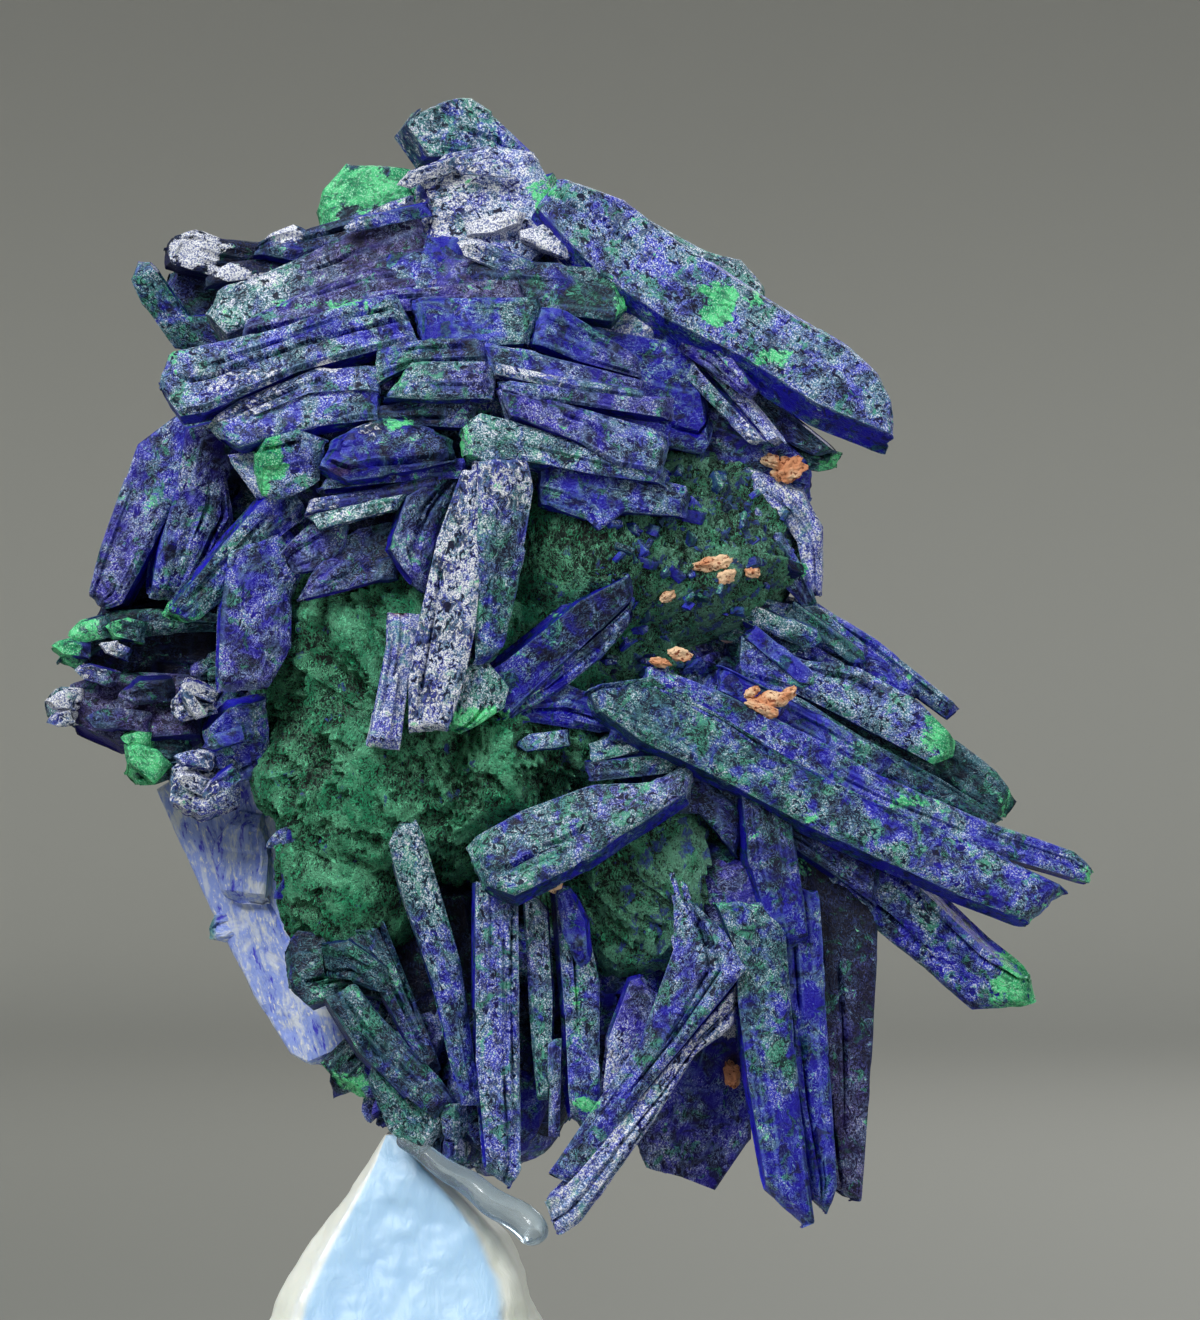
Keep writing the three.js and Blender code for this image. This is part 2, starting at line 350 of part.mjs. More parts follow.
// Hidden side: rings of broad plain laths that run out over the back like shingles. Each ring is
// [number of laths, first angle, reach across, reach up, depth at the root, depth at the tip].
const shingles = ([x, z], rings, grow) => rings.flatMap(([count, start, across, up, near, far]) =>
  Array.from({ length: count }, (_, i) => {
    const wave = Math.sin(2.4 * i + count);
    const angle = start + (360 / count) * (i + 0.18 * wave);
    const reachOut = Math.hypot(across * Math.cos(angle * DEGREE), up * Math.sin(angle * DEGREE));
    return plainLath([x, z], angle, reachOut * (1 + 0.12 * wave), 3.9 + 0.7 * wave,
      [near, far + wave], 2, 16 * wave, grow);
  }));

const rearCapLaths = (grow) => shingles([-1.6, 55.4], [
  [7, 10, 12.6, 10.6, 10.4, 4.4],
  [4, 32, 7.4, 6.4, 12, 9.4],
], grow);

const rearLaths = (grow) => shingles([1.5, 36], [
  [6, 20, 11.6, 10.4, 9.4, 4.6],
  [3, 50, 6, 6, 10.4, 9],
], grow);

// Cores: the crowded middle of each intergrowth, as lumpy takes them. [centre, lobes, columns, rows]
const CAP_CORE = [[-2, 3, 54], [[[-2, 3, 53], [9.5, 9.2, 12]]], 10, 6];
const RIGHT_CORE = [[12, 0, 39], [[[12, 0.6, 39.5], [5.6, 5, 4.4]], [[8, -2, 36.4], [4.6, 4.4, 2.8]]], 8, 6];
const LOWER_CORE = [
  [5, 0, 24], [[[6.5, 1, 24], [8, 5.6, 6.5]], [[1, -0.6, 19], [4, 5, 4.6]], [[12, 0, 29], [5.4, 5.6, 5]]], 10, 6,
];
const ROOT_CORE = [
  [-3.4, 0.4, 20.4], [[[-3.4, 0.4, 20.6], [3.4, 4.6, 4.6]], [[-1.4, 0, 17.4], [2.9, 4.4, 2.6]]], 8, 6,
];
const LEFT_CORE = [[-12, 3, 42], [[[-12, 3, 47], [5.5, 4.2, 5.4]], [[-12.4, 3.6, 39.6], [5.6, 4, 6.4]]], 10, 6];
const REAR_CORE = [[1.5, 8, 35.5], [[[1.5, 7.4, 35.5], [5.6, 3.6, 5.6]]], 8, 6];

// Malachite: a felted lump with a few broad swellings.
const MALACHITE = [
  [1, 1, 39],
  [
    [[1, 1.4, 40], [11, 7.4, 12]],
    [[-5, -1.6, 35.6], [6.6, 5.2, 6.4]],
    [[-5.4, -1, 42], [5.4, 5.4, 5.4]],
    [[10.6, -1, 46.6], [5.6, 4.8, 4.8]],
    [[5.4, -2.2, 46.2], [5, 4.8, 4.4]],
    [[8, -1.6, 30], [5.2, 5, 5.4]],
    [[1.6, -2.8, 36.2], [4.2, 4.4, 3.6]],
    [[-6.4, 0, 29.6], [4, 4.6, 4.6]],
  ],
  16, 10,
];

// Putty: a lump pinched up to the crystals, with a flat face and a ridge in front, pressed out to a wide
// flat foot. Each level is [height, left, right, front, back].
const PUTTY_LEVELS = [
  [0, BASE_LEFT, BASE_RIGHT, -BASE_HALF_DEPTH, BASE_HALF_DEPTH],
  [1, BASE_LEFT - 0.2, BASE_RIGHT, -BASE_HALF_DEPTH, BASE_HALF_DEPTH],
  [2.2, -14.4, 9.6, -10.8, 11],
  [4, -13, 6.2, -9.2, 9.6],
  [6, -11.8, 4, -8, 8.6],
  [8, -10.65, 2.8, -7, 7.8],
  [10, -9.7, 2.4, -6.2, 7],
  [12, -8.5, 1.3, -5.6, 6.2],
  [14, -7, -0.6, -5, 5.4],
  [15.8, -5.7, -2.7, -4.2, 4.4],
  [PUTTY_HEIGHT, -4.9, -4.2, -3, 3],
];

function putty() {
  const columns = 14;
  const rows = PUTTY_LEVELS.length - 1;
  const geometry = new THREE.CylinderGeometry(1, 1, rows, columns, rows);
  geometry.rotateX(Math.PI / 2);
  const position = geometry.attributes.position;
  for (let i = 0; i < position.count; i++) {
    const level = PUTTY_LEVELS[Math.round(position.getZ(i) + rows / 2)];
    const [height, west, east, front, back] = level;
    const px = position.getX(i);
    const py = position.getY(i);
    const x = (west + east) / 2 + (px * (east - west)) / 2;
    const y = (front + back) / 2 + (py * (back - front)) / 2;
    position.setXYZ(i, x, y, height);
  }
  return solidOf(geometry);
}

// Bead: a capsule laid from the putty's top down its right edge, thin at the top and fat at the end.
const BEAD_TOP = new THREE.Vector3(-3.7, -4.6, 16.9);
const BEAD_END = new THREE.Vector3(2.5, -5.6, 12.7);
const BEAD_RADIUS = [0.5, 1.0];

function bead() {
  const run = new THREE.Vector3().subVectors(BEAD_END, BEAD_TOP);
  const geometry = new THREE.CapsuleGeometry(1, run.length(), 3, 9);
  const position = geometry.attributes.position;
  const [thin, fat] = BEAD_RADIUS;
  for (let i = 0; i < position.count; i++) {
    const y = position.getY(i);
    const share = THREE.MathUtils.clamp(0.5 - y / run.length(), 0, 1);
    const radius = thin + (fat - thin) * share;
    const core = THREE.MathUtils.clamp(y, -run.length() / 2, run.length() / 2);
    position.setXYZ(i, position.getX(i) * radius, core + (y - core) * radius, position.getZ(i) * radius);
  }
  const down = new THREE.Vector3(0, -1, 0);
  geometry.applyQuaternion(new THREE.Quaternion().setFromUnitVectors(down, run.clone().normalize()));
  geometry.translate(...new THREE.Vector3().addVectors(BEAD_TOP, BEAD_END).multiplyScalar(0.5));
  return solidOf(geometry);
}

// Joins solids, and keeps the largest body where a cut leaves crumbs.
const join = (solids) => solids.reduce((all, solid) => all.add(solid));
const largest = (solid) => solid.decompose().sort((a, b) => b.volume() - a.volume())[0];

function meshOf(name, solid, material) {
  const { numProp, vertProperties, triVerts } = solid.getMesh();
  const geometry = new THREE.BufferGeometry();
  geometry.setAttribute('position', new THREE.BufferAttribute(Float32Array.from(vertProperties), numProp));
  geometry.setIndex(Array.from(triVerts));
  geometry.computeVertexNormals();
  const mesh = new THREE.Mesh(geometry, material);
  mesh.name = name;
  return mesh;
}

const azurite = new THREE.MeshStandardMaterial({ color: 0x2a2c8c, roughness: 0.4, metalness: 0.1 });
const paleAzurite = new THREE.MeshStandardMaterial({ color: 0xa9b0ea, roughness: 0.4, metalness: 0.1 });
const green = new THREE.MeshStandardMaterial({ color: 0x2c6a4c, roughness: 0.9, metalness: 0 });
const puttyWhite = new THREE.MeshStandardMaterial({ color: 0xd8e2e6, roughness: 0.6, metalness: 0 });
const gel = new THREE.MeshStandardMaterial({
  color: 0xa8c4cc, roughness: 0.15, metalness: 0, transparent: true, opacity: 0.5,
});

// Crystal pieces: [name, core, laths, material]. Each is cut clear of the malachite and of the pieces
// before it.
const CRYSTALS = [
  ['azurite_centre_blades', null, centreLaths, azurite],
  ['azurite_cap', CAP_CORE, (grow) => [...capLaths(grow), ...rearCapLaths(grow)], azurite],
  ['azurite_right_fan', RIGHT_CORE, rightFanLaths, azurite],
  ['azurite_lower_fan', LOWER_CORE, lowerFanLaths, azurite],
  ['azurite_root_crystals', ROOT_CORE, rootLaths, azurite],
  ['azurite_roof_blades', null, roofLaths, azurite],
  ['azurite_left_blades', LEFT_CORE, leftLaths, azurite],
  ['azurite_back_slab', null, backSlabLaths, paleAzurite],
  ['azurite_rear_spray', REAR_CORE, rearLaths, azurite],
];

// The malachite makes room for the cores, and the laths end against the malachite.
const cores = CRYSTALS.filter(([, core]) => core).map(([, core]) => lumpy(...core, GAP));
const malachite = lumpy(...MALACHITE, 0).subtract(join(cores));
const malachiteSwollen = lumpy(...MALACHITE, GAP);

const specimen = new THREE.Group();
let taken = malachiteSwollen.subtract(join(cores));
for (const [name, core, laths, material] of CRYSTALS) {
  const grown = join(laths(0)).subtract(malachiteSwollen);
  const whole = core ? grown.add(lumpy(...core, 0)) : grown;
  specimen.add(meshOf(name, largest(whole.subtract(taken)), material));
  const swollen = join(laths(GAP));
  taken = taken.add(core ? swollen.add(lumpy(...core, GAP)) : swollen);
}
specimen.add(meshOf('malachite_mass', largest(malachite), green));
specimen.add(meshOf('display_putty', largest(putty().subtract(taken)), puttyWhite));
specimen.add(meshOf('clear_bead', largest(bead().subtract(taken).subtract(putty())), gel));

export default specimen;
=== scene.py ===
# The looks of the azurite specimen: every crystal lath with its striations, steps and speckled faces,
# the felted malachite, the limonite bits, the putty and the clear bead.
# Shapes are worked out in millimetres in the part's own frame and become metres when a mesh is made.
import itertools
import math
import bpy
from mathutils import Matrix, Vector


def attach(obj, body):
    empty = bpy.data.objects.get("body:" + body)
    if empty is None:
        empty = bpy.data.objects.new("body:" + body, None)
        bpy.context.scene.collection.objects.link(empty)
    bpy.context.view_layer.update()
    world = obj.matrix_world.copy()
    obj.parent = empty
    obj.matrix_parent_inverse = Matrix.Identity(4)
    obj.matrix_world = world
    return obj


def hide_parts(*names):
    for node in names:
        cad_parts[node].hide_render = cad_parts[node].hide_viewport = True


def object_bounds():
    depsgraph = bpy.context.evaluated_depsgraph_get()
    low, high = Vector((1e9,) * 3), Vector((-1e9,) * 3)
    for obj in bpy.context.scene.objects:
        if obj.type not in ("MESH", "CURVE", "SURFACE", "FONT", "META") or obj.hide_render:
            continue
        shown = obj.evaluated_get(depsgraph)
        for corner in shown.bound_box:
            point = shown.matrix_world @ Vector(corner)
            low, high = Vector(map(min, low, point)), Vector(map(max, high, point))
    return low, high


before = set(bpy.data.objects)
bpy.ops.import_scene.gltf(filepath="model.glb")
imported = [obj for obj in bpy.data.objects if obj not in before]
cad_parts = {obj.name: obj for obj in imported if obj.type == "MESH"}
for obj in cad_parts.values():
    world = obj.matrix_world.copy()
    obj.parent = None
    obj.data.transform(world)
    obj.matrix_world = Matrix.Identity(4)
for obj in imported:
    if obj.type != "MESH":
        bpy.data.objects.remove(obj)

from types import SimpleNamespace

import bmesh
import bpy
import numpy as np
from mathutils import Vector

MM = 0.001
cad_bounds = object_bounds()

# The photograph's frame in the part's own millimetres: its height, and the place that its middle shows
PICTURE_HEIGHT_PX = 1320
MM_PER_PX = 0.05
VIEW_HEIGHT = PICTURE_HEIGHT_PX * MM_PER_PX
VIEW_CENTRE_X = 6.0
VIEW_CENTRE_Z = 41.0
TRUE_SIZE_DEPTH = -5.0  # the depth y at which the camera shows the outlines at their true size

# Sizes of the azurite's fine structure
CELL_ALONG = 0.24  # spacing of the surface grid along a lath
CELL_ACROSS = 0.13  # and across it
CELL_DEEP = 0.34  # and down its sides
STRIATION = 0.07  # depth of the lengthwise striations
SHEET = 0.22  # how far the lowest face lies under the thin sheets that cover it
PIT = 0.12  # depth of the chipped pits
GRAIN = 0.035  # depth of the fine roughness
GROOVE = 0.45  # depth of the few deep grooves along a lath
GROOVE_HALF_WIDTH = 0.13  # and how far their walls reach to either side
FACET_LEAN = 0.75  # how steeply a facet falls away towards the edges and the root
TIP_LEAN = 1.1  # and towards the tip
RIM = 0.22  # width of the pale rim round a lath's face, partly worn and partly a painted edge highlight
RAGGED = 0.4  # how far an end's rows are pushed in or out
RAGGED_REACH = 0.9  # and how far from the end that still shows
GREEN_REACH = 1.5  # how far bright green grows in from an end
END_CLOSING = np.array([0.0, 0.35, 0.7])  # how far open the section is in the rows that close an end
CREASE = 38  # the angle in degrees between two faces past which their edge stays crisp
BEHIND = 2.5  # a lath whose tip lies deeper than this y is on the hidden side
BEHIND_COARSENESS = 1.4  # and its grid is this much coarser


def smooth_step(value):
    """0 below 0, 1 above 1, and an even S curve between them."""
    value = np.clip(value, 0, 1)
    return value * value * (3 - 2 * value)


LATTICE = np.random.default_rng(11).random(4096)  # its length is a power of two


def noise(points, seed=0):
    """Value noise from 0 to 1: lattice points get a fixed random value, and a point between them takes
    the smooth blend of the eight around it."""
    cell = np.floor(points).astype(np.int64)
    share = points - cell
    share = share * share * (3 - 2 * share)
    total = np.zeros(len(points))
    for corner in itertools.product((0, 1), repeat=3):
        i, j, k = (cell + corner).T
        key = (i * 73856093) ^ (j * 19349663) ^ (k * 83492791) ^ (seed * 2654435)
        weight = np.where(corner, share, 1 - share).prod(axis=1)
        total += weight * LATTICE[(key ^ (key >> 13)) & (len(LATTICE) - 1)]
    return total


def rough(points, seed=0, octaves=3):
    """Fractal noise: octaves of value noise, each twice as fine and half as strong, scaled to 0 to 1."""
    total = sum(noise(points * 2.03 ** n, seed + n) * 0.5 ** n for n in range(octaves))
    return total / (2 - 0.5 ** (octaves - 1))


def ridged(points, seed=0, octaves=3):
    """Sharp crests: 1 where the noise crosses its middle value and 0 where it is far from it."""
    return 1 - np.abs(2 * rough(points, seed, octaves) - 1)


# Looks of azurite faces, each as how much it has, with 0 for none and 1 for plenty, of pale speckles,
# teal tint, violet tint, ultramarine in the ground colour, darkness, white crust and brown stain
LOOK_PARTS = ("steel", "teal", "violet", "ultra", "dark", "white", "brown")
LOOKS = {
    "blue": (0.50, 0.28, 0.12, 0.65, 0.00, 0.00, 0.00),
    "deep": (0.22, 0.05, 0.10, 1.00, 0.05, 0.00, 0.00),
    "navy": (0.30, 0.20, 0.05, 0.30, 0.50, 0.00, 0.00),
    "black": (0.10, 0.05, 0.00, 0.10, 1.00, 0.00, 0.00),
    "steel": (0.72, 0.35, 0.10, 0.35, 0.00, 0.05, 0.00),
    "silver": (0.50, 0.15, 0.15, 0.25, 0.00, 0.48, 0.00),
    "teal": (0.58, 0.80, 0.00, 0.45, 0.00, 0.00, 0.00),
    "mint": (0.85, 0.95, 0.00, 0.12, 0.00, 0.35, 0.00),
    "green": (0.38, 1.00, 0.00, 0.05, 0.35, 0.00, 0.00),
    "violet": (0.45, 0.00, 0.75, 0.55, 0.05, 0.00, 0.05),
    "brown": (0.42, 0.05, 0.75, 0.15, 0.35, 0.00, 0.32),
    "lilac": (1.50, 0.00, 0.55, 0.45, 0.00, 0.40, 0.00),
    "grey": (0.70, 0.45, 0.15, 0.10, 0.10, 0.05, 0.08),
    "white": (0.60, 0.10, 0.05, 0.05, 0.00, 0.80, 0.00),
}


def lath(first, second, depths, thick, roll, root_look, tip_look, root_green=0, tip_green=0):
    """A lath's record: two edges as [x, z] points from root to tip as the front shows them, the depth y
    of its broad face at root and tip, its thickness, its roll in degrees, the looks at its two ends and
    how much bright green grows on each end."""
    return SimpleNamespace(
        first=np.array(first, float), second=np.array(second, float), depths=depths, thick=thick,
        roll=math.radians(roll), looks=(root_look, tip_look), green=(root_green, tip_green))


def plain_lath(root, angle, reach, width, depths, thick, roll, root_look, tip_look,
               root_green=0, tip_green=0):
    """A straight lath with a chisel end: its root's middle, its direction in degrees from +X and how far
    it reaches that way, and its width."""
    run = np.array([math.cos(math.radians(angle)), math.sin(math.radians(angle))])
    aside = np.array([-run[1], run[0]])
    half = width / 2
    shoulder = reach - 0.6 * width

    def at(far, out):
        return np.array(root) + run * far + aside * out

    first = [at(0, half), at(shoulder, half), at(reach, 0.2 * half)]
    second = [at(0, -half), at(shoulder - 0.3 * width, -half), at(reach - 0.15 * width, -0.2 * half)]
    return lath(first, second, depths, thick, roll, root_look, tip_look, root_green, tip_green)


CAP = [
    # knob and blunt crystals on the skyline
    lath([[3.2, 66.4], [0.8, 68.7], [-0.4, 69.5], [-1.6, 69.5]], [[2, 64.6], [-0.8, 66.3], [-2.6, 66.4],
         [-3.7, 68], [-3.1, 69]], (0.6, 0), 3.4, -20, "blue", "mint", 0, .15),
    lath([[-3.2, 66], [-5.2, 66.2], [-6.8, 66.2], [-8, 64.8], [-8.4, 64]], [[-3, 64], [-5.5, 63.2],
         [-7.2, 62.8], [-8.2, 62.9]], (0, -0.5), 3, -15, "green", "green", 1, 1),
    lath([[-3.4, 65.2], [-1.8, 66.6], [0.6, 67.1], [2.8, 66.8]], [[-3, 61.4], [-0.5, 60.8], [2.5, 61],
         [4.6, 62.8]], (-2.2, -1.6), 3.2, -12, "silver", "lilac"),
    # upper left laths with pale blunt ends
    lath([[-3.2, 64.7], [-5.5, 63.9], [-8.8, 62.9], [-9.4, 63.2], [-11.2, 62.4]], [[-3.4, 62.6],
         [-7.5, 61.4], [-9.5, 61.2], [-11.5, 61.6]], (-0.8, -1.6), 1.8, -18, "silver", "navy", 0, .1),
    lath([[-8, 62], [-13, 62.4], [-14.3, 62.9], [-15.4, 62.6]], [[-8, 60], [-12.5, 60], [-14.6, 60.6],
         [-15.6, 60.9], [-15.9, 61.8]], (1.5, 0), 2.6, -8, "black", "black"),
    lath([[-9, 60.8], [-13.1, 62], [-16, 60.7]], [[-9, 57.5], [-15, 57.2], [-16.5, 59.5]], (2.2, 2.6), 2.2,
         0, "navy", "navy"),
    lath([[-11, 58.6], [-14.8, 58.4], [-16.4, 60.6], [-16.9, 61]], [[-11, 56], [-15.6, 56.6],
         [-17.2, 58.9], [-17.8, 60.2], [-17.5, 61]], (0.5, 0.5), 1.8, 10, "navy", "teal", 0, .3),
    lath([[-3.3, 64.4], [-6, 63], [-8.8, 61.6], [-11.2, 60.5], [-13.3, 59.9]], [[-2, 60.8], [-6, 60],
         [-9.2, 58.8], [-12.7, 57.4], [-13.9, 58.6]], (-2.6, -3.4), 2.4, -22, "brown", "mint", 0, .3),
    lath([[2.4, 61.6], [-2.5, 61.3], [-6, 60.8], [-9.5, 59.4], [-12, 58.2]], [[2, 58.6], [-3, 58.6],
         [-8, 57.8], [-12, 57.2]], (-4.4, -4.6), 2, -26, "brown", "violet"),
    # dark green blade and the rows below it
    lath([[-1, 60.6], [0, 61.2], [6, 60.9], [7.1, 60.1]], [[-0.5, 59], [3, 58.4], [6.6, 57.9],
         [7.4, 58.7]], (-4.6, -4.4), 1.8, -18, "navy", "green", .1, .6),
    lath([[-4, 59.5], [-6.6, 59], [-9.5, 57.9], [-12.5, 57.1], [-15.7, 56.4]], [[-3, 57], [-9, 55.4],
         [-13.7, 53.3], [-14.9, 53.1], [-16.1, 54.8]], (-6.6, -6.8), 2.4, -16, "blue", "steel", 0, .35),
    lath([[-3.6, 59.3], [3, 59.4], [3.3, 58.8]], [[-2.9, 56.8], [-1, 56.6], [2.5, 56.8]], (-6.5, -6.4), 2,
         -16, "deep", "teal"),
    lath([[3.2, 58.9], [4.4, 58.5], [8.2, 56.2]], [[2.6, 56.8], [5, 55.8], [8.4, 55]], (-6.6, -5.2), 1.8,
         -14, "deep", "violet"),
    lath([[4.5, 58], [8.5, 57.3], [11.4, 56.6]], [[4, 52], [8, 52], [11.2, 51.2], [12, 52.6]],
         (-4.4, -2.6), 3, -4, "deep", "deep"),
    # thin laths stacked to the right
    lath([[0.2, 57], [2.6, 56.6], [8.4, 55.1]], [[0.6, 55.2], [4.6, 54.4], [8.4, 53.9]], (-7.5, -6.5), 1.8,
         -12, "blue", "violet"),
    lath([[0.9, 55.1], [8.4, 54.2], [10, 54.2]], [[1.2, 54.2], [4.5, 53.7], [9.8, 52.9]], (-8.1, -6.6),
         1.8, -12, "blue", "violet"),
    lath([[1, 54.9], [4, 54.1], [8.8, 52.8], [9.9, 52.2]], [[1.6, 53.2], [5, 51.8], [6.8, 50.6],
         [9.3, 50.2]], (-8.5, -7.4), 2.2, -16, "violet", "blue"),
    lath([[0.9, 55.7], [0.3, 56.1], [-3.3, 56.1], [-4, 55.4]], [[0.8, 54], [-1.5, 53.9], [-4.9, 54.1]],
         (-7.9, -8), 2, -14, "grey", "teal", 0, .35),
    # left side of the lower rows
    lath([[-5, 56], [-6.9, 55.8], [-8.2, 55.7], [-12, 54.1], [-13.8, 52.9]], [[-5, 54.4], [-8.5, 54.2],
         [-11.5, 53], [-13.2, 52.4]], (-7.4, -6.8), 1.6, -18, "steel", "silver"),
    lath([[-5, 54.6], [-7.4, 54.8], [-10.5, 53.8], [-13.8, 52.8]], [[-5, 53], [-9, 52.4], [-12, 51.6],
         [-13.2, 52.2]], (-7.7, -6.9), 1.8, -16, "blue", "steel"),
    lath([[0, 54.3], [-3, 54.2], [-6, 53.6]], [[0, 52.4], [-3, 52.6], [-6, 52.4]], (-7.3, -7.3), 1.6, -8,
         "navy", "navy"),
    lath([[-1.2, 52.2], [-3.5, 53.1], [-5, 53.2], [-7.4, 52.2]], [[-1, 51], [-3.5, 50.4], [-6.5, 50],
         [-8, 50.8]], (-7.6, -8.2), 2.2, -16, "navy", "deep"),
    lath([[0, 51.2], [-3, 51.2], [-7.5, 50.6]], [[-0.5, 50], [-4, 49.8], [-8.2, 49.4]], (-6.9, -7.3), 2,
         -10, "deep", "blue"),
    lath([[-7.4, 52], [-9, 52.6], [-10.6, 52.1], [-11.2, 51.2]], [[-7.8, 49.8], [-9.4, 48.9], [-10.8, 49],
         [-11.1, 50]], (-7.6, -8), 3, 8, "steel", "steel", .2, 1),
    lath([[-0.9, 52.8], [0.1, 53.5], [1.6, 53.1], [6, 51.7], [9.8, 50.7]], [[-0.7, 51.3], [0.4, 50.8],
         [1.6, 51], [6, 50.2], [9.5, 49.8]], (-8.7, -7.4), 2.2, -16, "mint", "blue", .5, 0),
    # ragged plate over the malachite and the small blades at the lower edge
    lath([[2.9, 51.5], [6, 50.9], [10.4, 49.8], [10.9, 49.2]], [[3, 48.8], [5.2, 48], [6, 47.4],
         [7.2, 48.3], [10.5, 48.1]], (-7.6, -6.6), 2, -8, "deep", "blue"),
    lath([[-1.2, 50.6], [-3.6, 49.2], [-4.5, 46.6], [-3.3, 44.8]], [[-0.8, 50.2], [-1.8, 47.5],
         [-2.6, 44.2]], (-6.6, -7.6), 1.4, 14, "navy", "violet"),
    lath([[-6.4, 48.6], [-8.6, 47.9], [-10.2, 46.4]], [[-6.6, 46.6], [-8, 45.4], [-9.5, 45.2]], (-7, -6.8),
         1.6, -6, "navy", "violet"),
    lath([[-3.6, 48.2], [-6, 47.8], [-7.4, 46.9], [-8.9, 44.6]], [[-3.9, 45.2], [-6.5, 44.5], [-9.1, 44]],
         (-6.6, -7.4), 1.4, -10, "navy", "violet"),
    lath([[-9.4, 50], [-10.8, 49], [-12.8, 46.8], [-16, 42.9]], [[-8.4, 48], [-9.8, 47], [-12.5, 44],
         [-14.5, 42.5]], (-6.6, -5.4), 1.8, 20, "blue", "teal", 0, .6),
    lath([[-9.4, 47.6], [-12.6, 46.4], [-13, 43.5], [-13.1, 39.3]], [[-8.4, 46], [-9.2, 44], [-9.2, 41.6],
         [-10.4, 39.5]], (-5.8, -6.4), 1.8, 10, "blue", "violet"),
]

ROOF = [
    lath([[4, 65.6], [7.4, 64.4], [10, 62.4], [14.5, 59.4], [18.5, 57], [20, 55.6], [20.9, 53.9]],
         [[2.8, 64], [6, 60.6], [9.2, 58.4], [13.2, 56.4], [17, 54], [20.9, 52.4]], (-2.6, -4.4), 2.8, -34,
         "steel", "steel", .4, .1),
    lath([[6, 64.6], [8, 63.8], [11.5, 61.8], [13.2, 61.4], [14.6, 59.8]], [[6, 61], [8, 60], [12, 58],
         [14, 57.5]], (0.2, -0.2), 3, -20, "grey", "mint", 0, .1),
    lath([[8, 60.6], [12, 58.4], [16, 55]], [[8, 55], [12, 53.4], [15, 52]], (0, -0.4), 3, -10, "deep",
         "deep"),
    lath([[9.6, 58], [12, 57], [13.8, 54.5]], [[9.6, 56.6], [11.8, 55], [13.4, 53.9]], (-3.4, -4.4), 1.6,
         12, "violet", "violet"),
    lath([[10.6, 56.2], [11.2, 55.4], [14.3, 51.9]], [[9.8, 55.4], [10.6, 54.6], [13.6, 51.6]], (-2.8, -4),
         1.4, 16, "grey", "silver"),
    lath([[12, 56.4], [15, 53.8], [17.9, 51.4]], [[12.6, 53.2], [15.5, 51.8], [17, 51.1]], (-1.6, -2), 1.8,
         8, "navy", "navy"),
    lath([[9.6, 53.8], [12, 53.8], [15, 52.4], [16.8, 50.8]], [[9.8, 49.6], [12.2, 48.6], [14.5, 48.2],
         [16.8, 48.9]], (-1.8, -1.4), 2.8, 0, "navy", "deep"),
    lath([[13.2, 50.8], [14.6, 50.2], [16.2, 49.4], [17.2, 47.5], [17.2, 44]], [[13.4, 49.6], [14.2, 49],
         [15.8, 46.8], [16.4, 43.9]], (-2.2, -1.4), 1.6, 10, "lilac", "lilac"),
    lath([[13.4, 49.4], [15.2, 47.4], [16.4, 45.4], [17, 43.8]], [[12.8, 48.2], [14, 46.4], [15.2, 44.6],
         [16.6, 43.2]], (-2.4, -2), 1.6, 0, "grey", "blue"),
]

